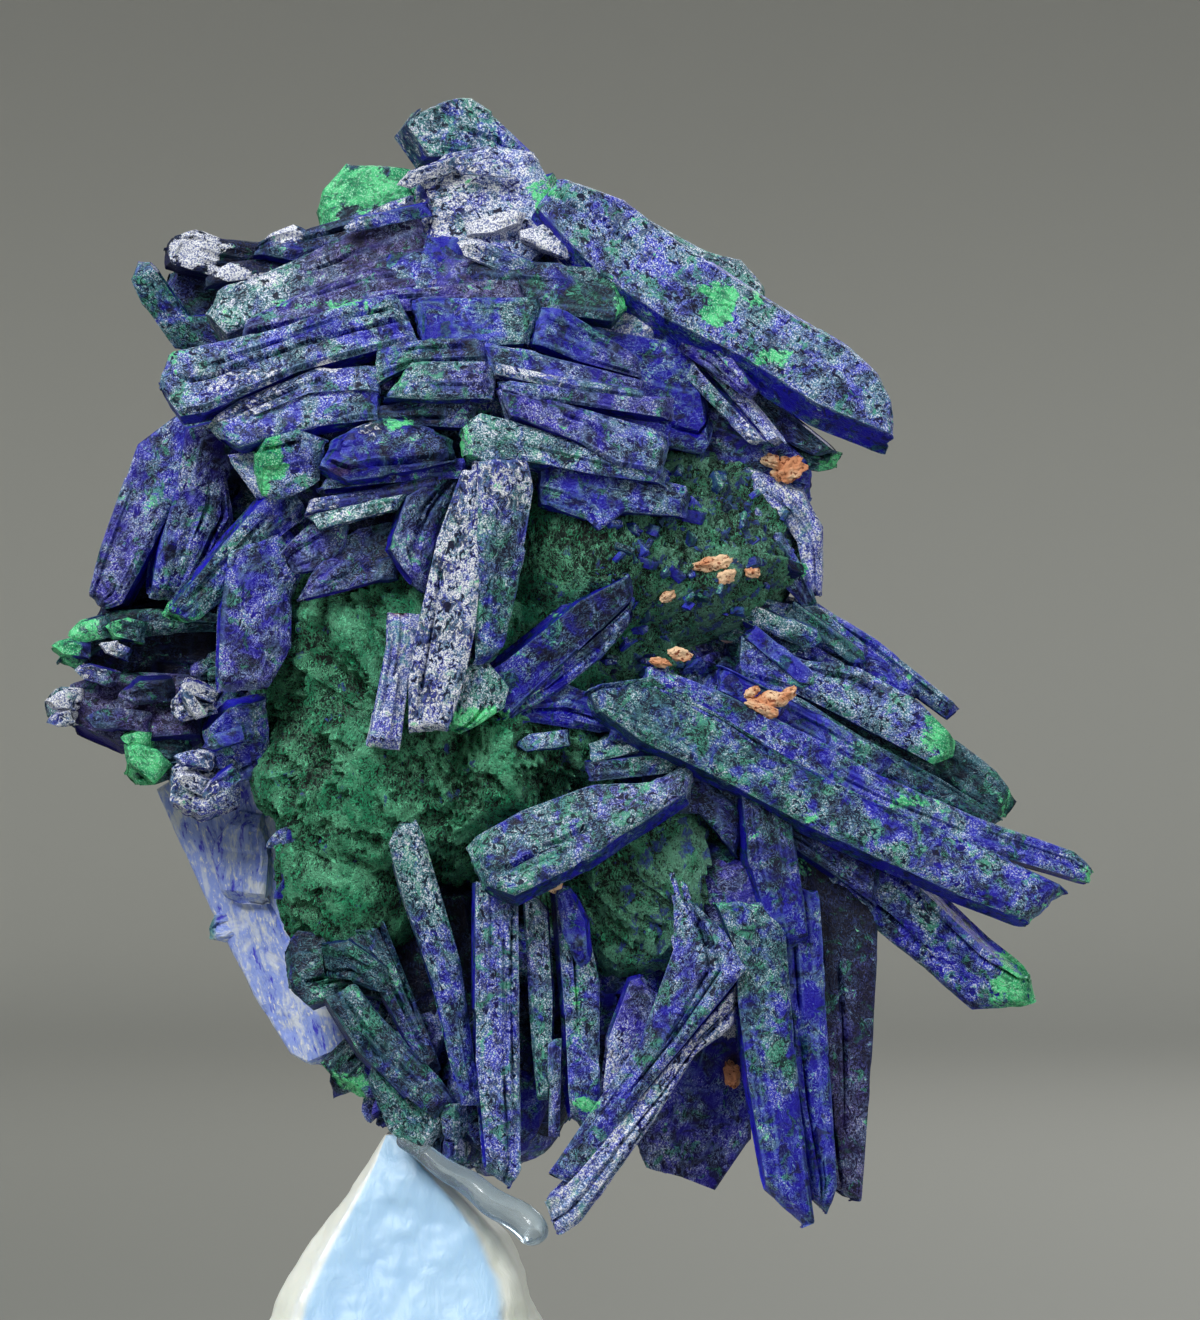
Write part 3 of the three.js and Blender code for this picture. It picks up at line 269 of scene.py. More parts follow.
LEFT = [
    lath([[-13.5, 53.4], [-15.5, 53.4], [-17.4, 52], [-18, 50.2], [-19.3, 46.5], [-19.9, 44.2]],
         [[-13, 50.5], [-15.6, 48.5], [-16.6, 46.5], [-18.1, 43.8], [-19.2, 43.4]], (-2, -1.4), 3, -10,
         "blue", "violet"),
    lath([[-13, 53], [-14.8, 52.6], [-15.2, 50], [-16.2, 46.5], [-16.6, 44]], [[-11, 52], [-12.6, 50],
         [-12.3, 48], [-13.3, 46], [-15, 43.6]], (-3, -2.6), 3.4, 12, "violet", "blue"),
    # druse
    lath([[-13, 43.4], [-16.6, 43.7], [-18.6, 43.6], [-20.2, 42.6], [-21.5, 41]], [[-13, 42.4],
         [-16.4, 42.2], [-18.6, 41.8], [-20.5, 40.4]], (-0.8, -1.2), 2.4, 0, "green", "green", .1, .6),
    lath([[-13, 42.8], [-17, 42.6], [-20.2, 42]], [[-13, 38], [-17, 39], [-20, 39.4]], (0.8, 0.4), 1.8, 0,
         "black", "navy"),
    lath([[-14, 40.4], [-18, 40.6], [-20.8, 40]], [[-14, 37.4], [-18.5, 37], [-20.8, 38]], (-1.8, -1.4),
         2.6, -20, "brown", "brown"),
    lath([[-19.6, 39.6], [-21.3, 39.7], [-22, 39]], [[-19.6, 37.7], [-21, 37.5], [-21.9, 38.1]],
         (-1.4, -1.6), 2.4, 0, "white", "mint", 0, .1),
    lath([[-13.2, 39.6], [-14.6, 40.1], [-15.5, 38.9]], [[-13, 38.2], [-14.9, 37.7], [-15.6, 38.1]],
         (-3.6, -3.8), 1.8, 10, "silver", "silver"),
    lath([[-14.6, 37.2], [-16.6, 37.5], [-17.6, 36.6], [-18.2, 35.3]], [[-14.6, 35.2], [-16.4, 34.6],
         [-17.6, 34.6]], (-1.8, -1.6), 2.6, 0, "green", "green", .4, 1),
    lath([[-12, 36.4], [-14.2, 36.8], [-15.8, 35.6]], [[-12, 33.8], [-14, 33.2], [-15.6, 34]],
         (-2.6, -2.8), 2.4, -14, "lilac", "silver"),
    lath([[-10.6, 39], [-12.6, 38.6], [-14, 37.2]], [[-10.4, 35.4], [-12, 34.6], [-13.6, 35.6]],
         (-3.6, -3.6), 2.2, 18, "blue", "blue"),
    # closes the hollow between the slabs and the druse, black as painted shade in the hollow
    lath([[-12.6, 46.4], [-16, 46.4], [-19, 44.8]], [[-12.6, 41], [-17, 41.4], [-20, 42]], (2.2, 1.6), 2, 0,
         "black", "black"),
    # hidden side
    plain_lath([-8, 46], 150, 9.6, 4, (6.4, 3), 2.2, 12, "blue", "blue", 0, .1),
    plain_lath([-8, 43], 186, 9.4, 4, (6.8, 4), 2, -14, "navy", "blue"),
    plain_lath([-8, 39], 212, 8, 3.8, (6.6, 4.4), 2, 12, "blue", "teal", 0, .2),
]

BACK_SLAB = [
    lath([[-14, 36], [-16.6, 34.4], [-15.3, 31.4], [-13.6, 27.8], [-11.7, 24], [-9.8, 21], [-8.2, 20.1]],
         [[-9, 34], [-10.4, 31.6], [-9.8, 28.4], [-8, 24], [-6.4, 21]], (0.6, 1.2), 3, -24, "lilac",
         "lilac"),
    lath([[-12.6, 33.4], [-14, 31.4], [-13.2, 28.6]], [[-11.3, 33.2], [-10.8, 31], [-11, 28.4]],
         (0.2, 0.8), 1.8, -22, "lilac", "lilac"),
]

CENTRE = [
    lath([[-0.9, 50.5], [-2.2, 47], [-3.2, 42.6], [-3.6, 40], [-3.6, 37.3]], [[0.3, 50.7], [0.2, 46],
         [-0.1, 42.5], [-0.6, 40.2], [-1.6, 37.4]], (-8.9, -9), 1.6, -4, "silver", "silver"),
    lath([[0, 50.9], [-0.1, 46], [-0.1, 42], [-0.1, 40.6]], [[2.6, 51.1], [2.9, 49.5], [2.3, 46],
         [1.4, 42], [0.8, 40.6]], (-9, -8.6), 1.6, 22, "silver", "teal"),
    lath([[-4.6, 43.4], [-4.6, 41.8], [-5, 39.6], [-5.6, 36.7]], [[-2.8, 43.4], [-3.4, 40], [-3.8, 36.4]],
         (-7.9, -8.2), 1.4, 8, "lilac", "lilac"),
    lath([[-1.4, 41], [-1.7, 39], [-1.5, 37.4]], [[0.6, 41], [1.6, 39.6], [1.4, 38.6], [-0.8, 37.2]],
         (-8.3, -8.5), 1.4, 12, "mint", "mint", 0, .8),
    lath([[-0.4, 39.8], [2, 41.6], [5, 44], [7.6, 45.3]], [[1.2, 37.6], [2.6, 39], [5, 41.3], [7.9, 44.2]],
         (-7.6, -7.6), 2, 14, "deep", "navy"),
    lath([[2, 38.9], [5, 41.4], [7.9, 44]], [[1, 37.5], [4, 39.2], [6.2, 40.8], [7.8, 42.8]], (-7.2, -7.2),
         1.8, 26, "deep", "blue"),
    lath([[0.8, 38.8], [2.4, 39.3], [4.5, 39.8], [8, 38.4]], [[0.8, 37.4], [2.5, 37.8], [6, 37.2],
         [7.6, 37.5]], (-6.8, -6.2), 1.8, 10, "deep", "deep"),
]

RIGHT_FAN = [
    lath([[8.4, 40.9], [12, 39.5], [16, 37.6], [20, 35.4], [25, 33.2], [29.8, 31.5], [31, 30.4]],
         [[8, 38.8], [10.5, 37.6], [16, 35.4], [20, 33.4], [26.3, 31], [30.6, 29.8]], (-7.4, -4.4), 2.2,
         -8, "blue", "blue", 0, .5),
    lath([[5.4, 39.9], [8.6, 40.4], [12, 38.6], [16, 36], [20, 34], [26, 31.5], [29.8, 29.7]], [[6, 38.6],
         [8.2, 37], [12, 35.2], [16.4, 32.8], [21, 30.7], [24, 29.3], [27.7, 27.9]], (-8.4, -5.2), 2.4,
         -18, "teal", "blue", .1, .35),
    lath([[13, 35.2], [16, 34], [18, 32.6], [20.4, 30.6]], [[14, 32.6], [16, 31.4], [18, 30], [20, 28.6]],
         (-5.6, -4.8), 2, -12, "navy", "navy"),
    lath([[15, 34.2], [18, 32.4], [21.3, 30.4], [25.3, 26.6], [27.5, 24.8]], [[14, 32.2], [16.5, 30.2],
         [20.2, 27], [24.6, 23.3], [27.9, 23.5]], (-4.4, -3.6), 2.2, 18, "blue", "blue", 0, 1),
    lath([[12, 40.6], [15.2, 39.8], [19, 37.4], [23, 35.3], [26.5, 33.1]], [[12, 38.8], [14.5, 38],
         [18, 36.2], [22, 34], [25.8, 32.2]], (-5.2, -3.4), 2.2, -8, "blue", "green", 0, .4),
    lath([[13, 42.4], [16.3, 41.1], [19, 40.8], [22, 39.1], [24, 37]], [[13, 40], [16, 39.2], [19, 37.6],
         [22.7, 35.7], [23.9, 36.1]], (-4, -3.6), 2.2, -6, "blue", "steel", 0, 1),
    lath([[12, 44.4], [17, 43.8], [20.5, 41], [22.2, 39.2]], [[12, 42], [16.4, 41], [19, 39.8],
         [21, 38.6]], (-3, -1.8), 2, -8, "teal", "blue"),
    lath([[14, 44.6], [17, 44], [20, 42.1], [24.3, 38.6]], [[14, 43], [16.5, 42.6], [19.5, 40.8],
         [23.6, 37.9]], (-0.8, -0.6), 1.8, -4, "blue", "blue"),
    lath([[16, 40], [20, 38.4], [24, 37], [26, 35.5], [27.1, 34]], [[16, 37.6], [19, 36.4], [22.8, 35],
         [25.5, 33], [26.6, 33]], (-2.6, -2.2), 2, -4, "green", "green", 0, .5),
    # hidden side
    plain_lath([13, 41], -28, 12, 2.6, (1.6, 3), 1.6, 10, "blue", "blue", 0, .2),
    plain_lath([13, 38], -36, 13, 3, (1.8, 4), 1.8, -12, "blue", "teal"),
    plain_lath([12, 36], -46, 11, 2.8, (1.4, 5), 1.8, 14, "deep", "blue", 0, .3),
    plain_lath([13, 40], -18, 9, 2.4, (3.4, 6.5), 1.6, -10, "blue", "violet"),
]

LOWER_FAN = [
    lath([[10.8, 36.4], [8.5, 35.1], [5.5, 35], [2, 33.7], [-0.8, 32.1]], [[10.4, 34.6], [8, 33],
         [4.5, 30.7], [1.8, 29.4], [0.1, 30]], (-7.2, -8.6), 2.2, -26, "grey", "teal", 0, .2),
    lath([[8, 36.2], [11, 36.6], [13.4, 35]], [[8, 33.2], [11, 33.2], [13, 31]], (-6.2, -5.6), 1.8, 0,
         "navy", "navy"),
    lath([[-0.9, 18.6], [-2.4, 24.8], [-4, 29.5], [-4.6, 31.8], [-4, 33.1]], [[0.2, 18.6], [-0.8, 26],
         [-1.8, 29.5], [-2.6, 32.2], [-3.1, 33.1]], (-5.8, -6.6), 2, 6, "blue", "mint", 0, .15),
    lath([[-0.2, 30], [-0.3, 21], [0.3, 15.4]], [[2, 30], [2.1, 20], [2.2, 15.6], [1.7, 14.5]], (-7, -6.8),
         2.4, 6, "steel", "steel", 0, .05),
    lath([[2, 30], [2.3, 24], [2.5, 21.5], [2.8, 18.9]], [[3.4, 28.6], [3.7, 24], [3.6, 21], [3.4, 18.9]],
         (-6.4, -6.2), 1.8, -6, "grey", "teal"),
    lath([[3.7, 30.4], [4.2, 24], [4.4, 19.5], [4.6, 18.2]], [[5.2, 29], [6.1, 25], [6.1, 19],
         [5.6, 17.6]], (-6, -6.3), 2, 12, "steel", "blue"),
    lath([[6.1, 19.2], [6.4, 22], [7.5, 25], [8.2, 25.4]], [[6.6, 18], [7.8, 20.6], [9.2, 22.5],
         [9.4, 24]], (-6.2, -6.4), 1.8, 8, "lilac", "violet"),
    lath([[9.1, 31.3], [9.6, 28.8], [9.6, 26.6], [7.9, 22], [5.4, 18.5], [3.3, 15.4]], [[9.9, 31.2],
         [10.6, 29], [12.3, 27.4], [13.3, 25.6], [10.5, 22.2], [7, 18], [4.6, 14.8]], (-6.2, -7.4), 2.2,
         -6, "steel", "blue"),
    lath([[13.2, 25.3], [12, 23.8], [8, 19.2], [5, 15.6], [3.4, 14]], [[13, 22.8], [10.8, 21.2], [8.8, 18],
         [5.2, 13], [4.2, 12.1]], (-6, -7.8), 2, 12, "silver", "lilac"),
    lath([[11, 25], [9, 20], [7.8, 16.6], [8.3, 15.5], [9.3, 15.1]], [[14, 25], [13.8, 20], [13.7, 16.9],
         [11.9, 14.3], [11, 15.6]], (-3.2, -2.6), 2, 4, "deep", "violet"),
    lath([[13, 34.9], [13.4, 31], [14, 29], [15, 26.4]], [[15.7, 33.4], [16.2, 30], [16.6, 26.6]],
         (-6.4, -5.8), 2, 14, "navy", "deep"),
    lath([[11.7, 29], [12.7, 26.5], [12.8, 24], [13.3, 20], [14.3, 14.5]], [[14.4, 29], [15.4, 27.4],
         [15.8, 22], [16.6, 15], [16.9, 12.8], [16.4, 12.5]], (-6.4, -6), 2.2, 8, "teal", "deep", .4, 0),
    lath([[14.4, 29.6], [14.9, 24], [15.6, 19], [16.8, 13.8]], [[17, 29.6], [17.6, 21], [18, 14.6],
         [17.5, 13.2]], (-5.2, -4.8), 2.2, 8, "deep", "deep"),
    lath([[14.6, 32], [16, 24], [16.8, 18], [17.7, 14.4]], [[18, 30.8], [20, 28.8], [20, 26], [19.6, 19],
         [19.2, 13.8], [18.8, 13.7]], (-4, -3.6), 2, 6, "black", "brown", .4, 0),
    # closes the hollow beside the root crystals, black and navy as painted shade in the hollow
    lath([[-5, 30], [-4.2, 24], [-2, 18.6]], [[-0.6, 30], [0.4, 24], [0.6, 18.4]], (-2, -1.6), 2, 0, "black",
         "navy"),
    # hidden side
    plain_lath([1, 26], -92, 9.4, 2.6, (4.4, 5), 2, 12, "blue", "blue"),
    plain_lath([5, 27], -84, 11.6, 3, (5, 6.6), 2, -10, "blue", "teal", 0, .2),
    plain_lath([9, 28], -78, 12, 2.8, (4.6, 6), 2, 14, "deep", "blue"),
    plain_lath([12.6, 29], -68, 12.6, 3, (3.4, 4.6), 2, -12, "blue", "blue", 0, .3),
    plain_lath([14, 30], -56, 9, 2.6, (3.2, 6.4), 1.6, 10, "violet", "blue"),
]

ROOT = [
    lath([[-5, 27.4], [-7.2, 27.4], [-9.2, 27.6], [-10, 26.6]], [[-4.6, 24], [-7, 24.2], [-8.6, 23.6],
         [-9.8, 24.6]], (-4, -3.6), 2.6, -8, "green", "green"),
    lath([[-6.4, 28.2], [-4.8, 28.2], [-3.4, 24.6], [-1.8, 20.6]], [[-6.8, 26.6], [-4.8, 24], [-2.6, 20]],
         (-4.4, -5), 1.8, -10, "green", "navy"),
    lath([[-6.2, 25], [-4.8, 23.2], [-2, 20.4], [-0.9, 19]], [[-7.8, 24.2], [-6, 21.4], [-3.8, 19.2],
         [-2.2, 18]], (-5.4, -5.6), 2.2, -12, "green", "navy"),
    lath([[-5.4, 21.6], [-3, 19.6], [-1.6, 17.6]], [[-5.8, 20], [-4.6, 17.4], [-2.8, 16]], (-5, -5.2), 2,
         6, "green", "mint", .1, 0),
    lath([[-2, 18.9], [-0.5, 18.9]], [[-2.1, 15.9], [-0.6, 15.6]], (-5.4, -5.4), 2, 6, "navy", "mint"),
    lath([[-5, 22.4], [-7, 22], [-8.2, 20.8], [-7.2, 19.4]], [[-4.6, 20], [-5.4, 19.2], [-5.8, 18.8]],
         (-1, -1), 3, 0, "green", "green", 0, .7),
    plain_lath([-4.4, 24], 236, 6.4, 2.6, (3, 4.4), 2, 10, "blue", "navy"),
    plain_lath([-3.2, 25], 262, 7.6, 2.6, (4.2, 5.2), 2, -8, "navy", "teal", 0, .1),
]

# Small laths on the faces of the larger ones
SMALL_CAP = [
    lath([[-1, 63.1], [1.6, 63.8], [2.4, 63.6]], [[-0.9, 62.3], [0.6, 62.4], [2.1, 63]], (-2.6, -2.8),
         0.9, -20, "white", "white"),
    lath([[1.8, 62.8], [3.2, 63], [4.9, 61.6]], [[2, 62.2], [3, 61.6], [4.3, 61.2]], (-2.8, -3.2),
         0.9, -20, "white", "silver"),
    lath([[-6, 59.4], [0.5, 60.2], [2, 60.2]], [[-6, 58.4], [0, 58.6], [2.6, 59]], (-5, -5.2),
         1, -20, "violet", "brown"),
    lath([[0.6, 57.1], [-3, 57.1], [-5.2, 56.8]], [[0.6, 55.8], [-3.4, 55.6], [-5.4, 54.6]], (-7, -7),
         1, -14, "navy", "teal"),
    lath([[-3.4, 49.4], [-6, 48.9], [-8.6, 48.3]], [[-4, 48.5], [-6.5, 47.8], [-8, 47.4]], (-7.4, -8),
         1, -10, "mint", "mint", .4, 0),
    lath([[-1.5, 50.5], [-5, 49.8], [-8.6, 49.2]], [[-2, 49.5], [-5.5, 48.8], [-8.9, 48.3]], (-7, -7.6),
         1.4, -14, "navy", "silver"),
    lath([[-8, 61.6], [-11.6, 61.4], [-12.6, 61.3], [-13.9, 60.4]], [[-8, 60.2], [-11, 60.2],
         [-13.9, 59.8]], (-0.6, -1.6), 1.6, -12, "black", "black"),
    lath([[-10, 51.8], [-12.7, 51.3]], [[-10, 49], [-11.2, 49], [-12.5, 50.8]], (-6.4, -6.2),
         1.6, 0, "lilac", "lilac"),
    lath([[4.2, 58.2], [6, 58.8], [9, 58.6]], [[4.6, 56.6], [7.5, 56.4], [9.6, 57.2]], (-3.6, -3),
         1.6, -10, "lilac", "lilac"),
    lath([[0.8, 56], [4, 55.3], [8.3, 54.6]], [[0.8, 55.2], [4.6, 54.4], [8.4, 53.9]], (-7.9, -6.9),
         1.6, -12, "silver", "blue"),
    plain_lath([3, 60.2], 158, 4.6, 1.2, (-4.2, -4.8), 0.8, -12, "steel", "white"),
    plain_lath([7, 61.6], 166, 4, 1.1, (-2, -2.6), 0.7, -10, "deep", "blue"),
    plain_lath([-1, 66], 200, 3.4, 0.9, (-2.4, -2.8), 0.7, -14, "silver", "white"),
    plain_lath([1.6, 65.6], 176, 3, 0.8, (-2.4, -2.8), 0.6, 10, "lilac", "silver"),
    plain_lath([-2.4, 63.6], 192, 4.6, 0.9, (-2.9, -3.4), 0.7, -12, "deep", "silver"),
]
SMALL_ROOF = [
    lath([[11.6, 56.2], [12.4, 55.4], [15.3, 51.8]], [[11, 55.6], [11.8, 54.9], [14.6, 51.6]],
         (-2.8, -3.6), 1.2, 16, "grey", "lilac"),
    lath([[13.6, 52.8], [16.5, 52], [18.4, 51.5]], [[13.6, 51], [17, 50.4], [18, 50.6]], (-1, -1),
         1.8, 0, "green", "green", 0, .6),
]
SMALL_RIGHT = [
    lath([[12, 41], [17.5, 38.2], [21, 36]], [[12, 39.4], [16.5, 37], [20, 35]], (-5.6, -4.6),
         1.6, -8, "deep", "blue"),
    plain_lath([12.4, 43.8], -24, 5.4, 1.2, (-3.6, -3.4), 0.8, 12, "mint", "teal", .3, 0),
    plain_lath([13.4, 42.6], -40, 4.6, 1, (-4.2, -4), 0.7, -12, "deep", "blue"),
    plain_lath([15.4, 43.6], -36, 5, 1, (-2.8, -2.6), 0.8, 8, "green", "teal", 0, .3),
    plain_lath([5.4, 36.4], 14, 4.6, 1.2, (-6.8, -6.4), 0.9, -16, "teal", "mint", 0, .2),
    plain_lath([6.4, 37.4], -8, 4.4, 1.1, (-7, -6.6), 0.9, 12, "deep", "blue"),
    plain_lath([4.6, 37.2], 186, 3, 1, (-6.9, -6.9), 0.8, 10, "blue", "teal"),
    plain_lath([9.6, 35.8], 20, 4, 1.2, (-6.6, -6.4), 0.9, -10, "blue", "teal"),
    plain_lath([5.2, 35.4], 6, 5.2, 1.1, (-6.8, -6.6), 0.8, 14, "navy", "teal", .2, 0),
]
SMALL_LEFT = [
    plain_lath([-16.6, 42.4], 168, 2.4, 1.3, (-1.8, -2.3), 1.2, 14, "green", "green", .3, .8),
    plain_lath([-18.4, 42.8], 196, 2.5, 1.2, (-1.9, -2.4), 1.2, -14, "green", "mint", 0, .9),
    plain_lath([-19.4, 41.6], 172, 2.2, 1.1, (-2.2, -2.6), 1.1, 16, "navy", "green", 0, .8),
    plain_lath([-17.4, 41.2], 158, 1.9, 0.9, (-2, -2.3), 1, 8, "navy", "white"),
    plain_lath([-20.1, 39], 174, 1.8, 1.1, (-2.4, -2.9), 1, 18, "silver", "white"),
    plain_lath([-20.3, 38.2], 196, 1.5, 0.8, (-2.6, -3), 0.9, -16, "white", "silver"),
    plain_lath([-15.2, 39.4], 184, 3, 1.3, (-2.8, -3.2), 1.2, -16, "black", "brown"),
    plain_lath([-16.4, 37.9], 174, 3.6, 1.2, (-2.6, -3), 1.2, 14, "brown", "navy"),
    plain_lath([-18, 39.9], 166, 2.6, 1, (-2.2, -2.7), 1, -10, "brown", "silver"),
    plain_lath([-13.7, 38], 128, 2.2, 0.8, (-4.2, -4.5), 0.8, 12, "white", "silver"),
    plain_lath([-13.2, 39], 158, 2, 0.7, (-4.3, -4.5), 0.8, -14, "silver", "white"),
    plain_lath([-15.7, 35.2], 138, 2.7, 1.6, (-2.5, -3), 1.3, 16, "green", "green", 1, 1),
    plain_lath([-16.4, 36.9], 176, 1.7, 1, (-2.5, -2.9), 1, -16, "green", "green", 1, .8),
    plain_lath([-13.4, 34.3], 152, 2.2, 1.1, (-3.2, -3.6), 1, -12, "lilac", "white"),
    plain_lath([-13.2, 35.9], 168, 2.2, 1, (-3.3, -3.7), 1, 14, "silver", "lilac"),
    plain_lath([-11.8, 37.4], 196, 2.3, 1, (-4.3, -4.5), 0.9, 12, "deep", "blue"),
    plain_lath([-12, 35.4], 214, 2.4, 1, (-4, -4.2), 0.9, -12, "blue", "silver"),
]
SMALL_LOWER = [
    lath([[3.4, 22.2], [3.3, 17.1]], [[4.2, 22.2], [4.1, 17.1]], (-6.3, -6.3), 1.6, 0, "blue", "grey"),
    lath([[3.6, 29.9], [3.9, 27.4], [4.9, 25.4]], [[4.4, 29.6], [5.3, 28], [5.4, 26]], (-6.9, -6.9),
         1.2, -20, "deep", "deep"),
    plain_lath([10.6, 31], -100, 5, 1, (-5.4, -5.6), 0.8, 12, "steel", "lilac"),
]
SMALL_ROOT = [
    lath([[-4.6, 25.6], [-6.6, 27], [-8.2, 26.8]], [[-4.4, 24], [-6.4, 24.8], [-8, 25]], (-5, -4.8),
         1.8, 10, "green", "green"),
    plain_lath([-8.8, 32.8], 250, 3.6, 1.7, (-3.5, -2.9), 1.4, 14, "deep", "navy"),
    plain_lath([-8.4, 30.4], 214, 2.6, 1.4, (-3.6, -2.9), 1.2, -12, "navy", "deep"),
    plain_lath([-9.4, 32.4], 206, 1.8, 1.1, (-3.2, -2.6), 1, 10, "blue", "silver"),
]
SMALL_BACK_SLAB = [
    lath([[-12, 28.4], [-13.6, 28.2], [-14, 27.4]], [[-12, 26.8], [-13, 26.6], [-13.9, 26.8]],
         (2.2, 2.4), 2, 0, "green", "green", 0, .5),
]


def shingles(centre, rings, looks):
    """Rings of plain laths that run out over the hidden side like shingles. Each ring is its number of
    laths, first angle, reach across, reach up, depth at the root, depth at the tip and width."""
    made = []
    for count, start, across, up, near, far, wide in rings:
        for i in range(count):
            wave = math.sin(2.4 * i + count)
            angle = start + (360 / count) * (i + 0.18 * wave)
            turn = math.radians(angle)
            reach = math.hypot(across * math.cos(turn), up * math.sin(turn)) * (1 + 0.12 * wave)
            root_look, tip_look, green = looks[(i + count) % len(looks)]
            width = wide * (1 + 0.18 * wave)
            made.append(plain_lath(centre, angle, reach, width, (near, far + wave), 0.5 * wide, 16 * wave,
                                   root_look, tip_look, 0, green))
    return made


REAR_LOOKS = [
    ("blue", "blue", 0.2), ("deep", "violet", 0), ("steel", "teal", 0.4), ("blue", "deep", 0),
    ("violet", "blue", 0.15), ("navy", "steel", 0),
]
REAR_CAP = shingles(
    [-1.6, 55.4],
    [(7, 10, 12.6, 10.6, 10.4, 4.4, 3.9), (4, 32, 7.4, 6.4, 12, 9.4, 3.9), (11, 24, 11, 9.6, 10.6, 6, 1.9),
     (7, 4, 6, 5.4, 12.2, 10.4, 1.4)],
    REAR_LOOKS)
REAR = shingles(
    [1.5, 36],
    [(6, 20, 11.6, 10.4, 9.4, 4.6, 3.9), (3, 50, 6, 6, 10.4, 9, 3.9), (9, 40, 9.6, 8.8, 9.4, 6, 1.8),
     (5, 10, 5, 5, 10.6, 9.6, 1.3)],
    REAR_LOOKS)

# Cores: the crowded middle of each intergrowth, as a centre and its lobes [place, radii]
CAP_CORE = [[-2, 3, 54], [[[-2, 3, 53], [9.5, 9.2, 12]]]]
RIGHT_CORE = [[12, 0, 39], [[[12, 0.6, 39.5], [5.6, 5, 4.4]], [[8, -2, 36.4], [4.6, 4.4, 2.8]]]]
LOWER_CORE = [
    [5, 0, 24], [[[6.5, 1, 24], [8, 5.6, 6.5]], [[1, -0.6, 19], [4, 5, 4.6]], [[12, 0, 29], [5.4, 5.6, 5]]],
]
ROOT_CORE = [[-3.4, 0.4, 20.4], [[[-3.4, 0.4, 20.6], [3.4, 4.6, 4.6]], [[-1.4, 0, 17.4], [2.9, 4.4, 2.6]]]]
LEFT_CORE = [[-12, 3, 42], [[[-12, 3, 47], [5.5, 4.2, 5.4]], [[-12.4, 3.6, 39.6], [5.6, 4, 6.4]]]]
REAR_CORE = [[1.5, 8, 35.5], [[[1.5, 7.4, 35.5], [5.6, 3.6, 5.6]]]]

# Malachite: a felted lump with a few broad swellings
MALACHITE = [
    [1, 1, 39],
    [
        [[1, 1.4, 40], [11, 7.4, 12]],
        [[-5, -1.6, 35.6], [6.6, 5.2, 6.4]],
        [[-5.4, -1, 42], [5.4, 5.4, 5.4]],
        [[10.6, -1, 46.6], [5.6, 4.8, 4.8]],
        [[5.4, -2.2, 46.2], [5, 4.8, 4.4]],
        [[8, -1.6, 30], [5.2, 5, 5.4]],
        [[1.6, -2.8, 36.2], [4.2, 4.4, 3.6]],
        [[-6.4, 0, 29.6], [4, 4.6, 4.6]],
    ],
]

FOLD_DEPTH = 1.9  # depths of the felt's relief, from its broad folds down to its fibres
CREASE_DEPTH = 0.9
TUFT_DEPTH = 0.55
FIBRE_DEPTH = 0.3
FELT_LEVEL = 1.2  # relief shallower than this is cut off level with the lump's own skin
DEEPEST_FOLD = 2.8
PAINTED_SHADE_ON_FELT = ([5.6, 46.6], [3.2, 2.2])  # painted shade: where the felt is darkest, under the ragged plate: [x, z] and radii
STREWN_LOW = (6.5, -math.inf, 36)  # small blades are strewn on the felt between these two corners
STREWN_HIGH = (math.inf, -1, 51)

# Spots of their own colour on the crystals: [x, z], radii, the mask that each adds to and how much
SPOTS = [
    ([11.8, 59], [1.3, 1.2], "green", 1.0),
    ([13.8, 59], [0.8, 0.6], "green", 0.8),
    ([14.6, 56.2], [1.4, 0.6], "green", 0.7),
    ([3.2, 64.8], [1, 0.9], "green", 0.6),
    ([-7.4, 58.8], [2.8, 0.35], "green", 0.55),
    ([-4.2, 52.8], [0.9, 0.5], "green", 0.6),
    ([-6.6, 64.9], [2.4, 1.5], "green", 1.0),
    ([5, 23.6], [0.5, 1.5], "green", 0.5),
    ([8.6, 46.8], [1.2, 0.6], "green", 0.4),
    ([5.4, 18.8], [0.6, 0.5], "green", 0.9),
    ([21.6, 33.9], [1.1, 0.4], "green", 0.8),
    ([16.2, 45.6], [0.4, 0.6], "green", 0.7),
    ([0.4, 38], [1.6, 0.7], "green", 0.8),
    ([16.4, 33.2], [0.7, 0.9], "green", 0.4),
    ([-12.2, 55], [3.4, 0.8], "white", 0.42),
    ([-7.5, 55.6], [0.6, 0.3], "white", 1.0),
    ([-5.4, 52.6], [1, 0.5], "white", 0.45),
    ([-14.5, 61.7], [1.5, 1.2], "white", 0.85),
    ([-10.0, 62.5], [1.2, 0.6], "white", 0.85),
    ([-12.7, 60.5], [1.1, 0.5], "white", 0.9),
    ([-11.0, 60.1], [1.7, 0.4], "white", 0.6),
    ([12.4, 22.4], [0.5, 0.4], "white", 1.0),
    ([-0.8, 16.5], [0.4, 0.5], "white", 0.9),
    ([-12.8, 29.3], [0.4, 0.4], "white", 1.0),
    ([-9.9, 24.5], [0.3, 0.4], "white", 1.0),
    ([1.2, 62.9], [2.2, 1], "white", 0.5),
    ([-7, 50.4], [1, 0.5], "brown", 0.8),
    ([-4, 43.5], [0.5, 0.4], "brown", 1.0),
    ([12.6, 20.4], [0.5, 0.9], "brown", 0.9),
]

SPOT_REACH = 1.8  # a spot's ragged rim ends within this many of its radii
SPOT_BACK = 1  # and it colours only points whose depth y is less than this

# What each point of a surface tells its material: the parts of its look, how much bright green grows
# there, and how far it lies on a pale rim, partly worn and partly a painted edge highlight, or on a side
MASKS = LOOK_PARTS + ("green", "edge", "side")


def mask_of(masks, name):
    """The part of an array of masks that holds the one of this name, to read or to fill."""
    return masks[..., MASKS.index(name)]


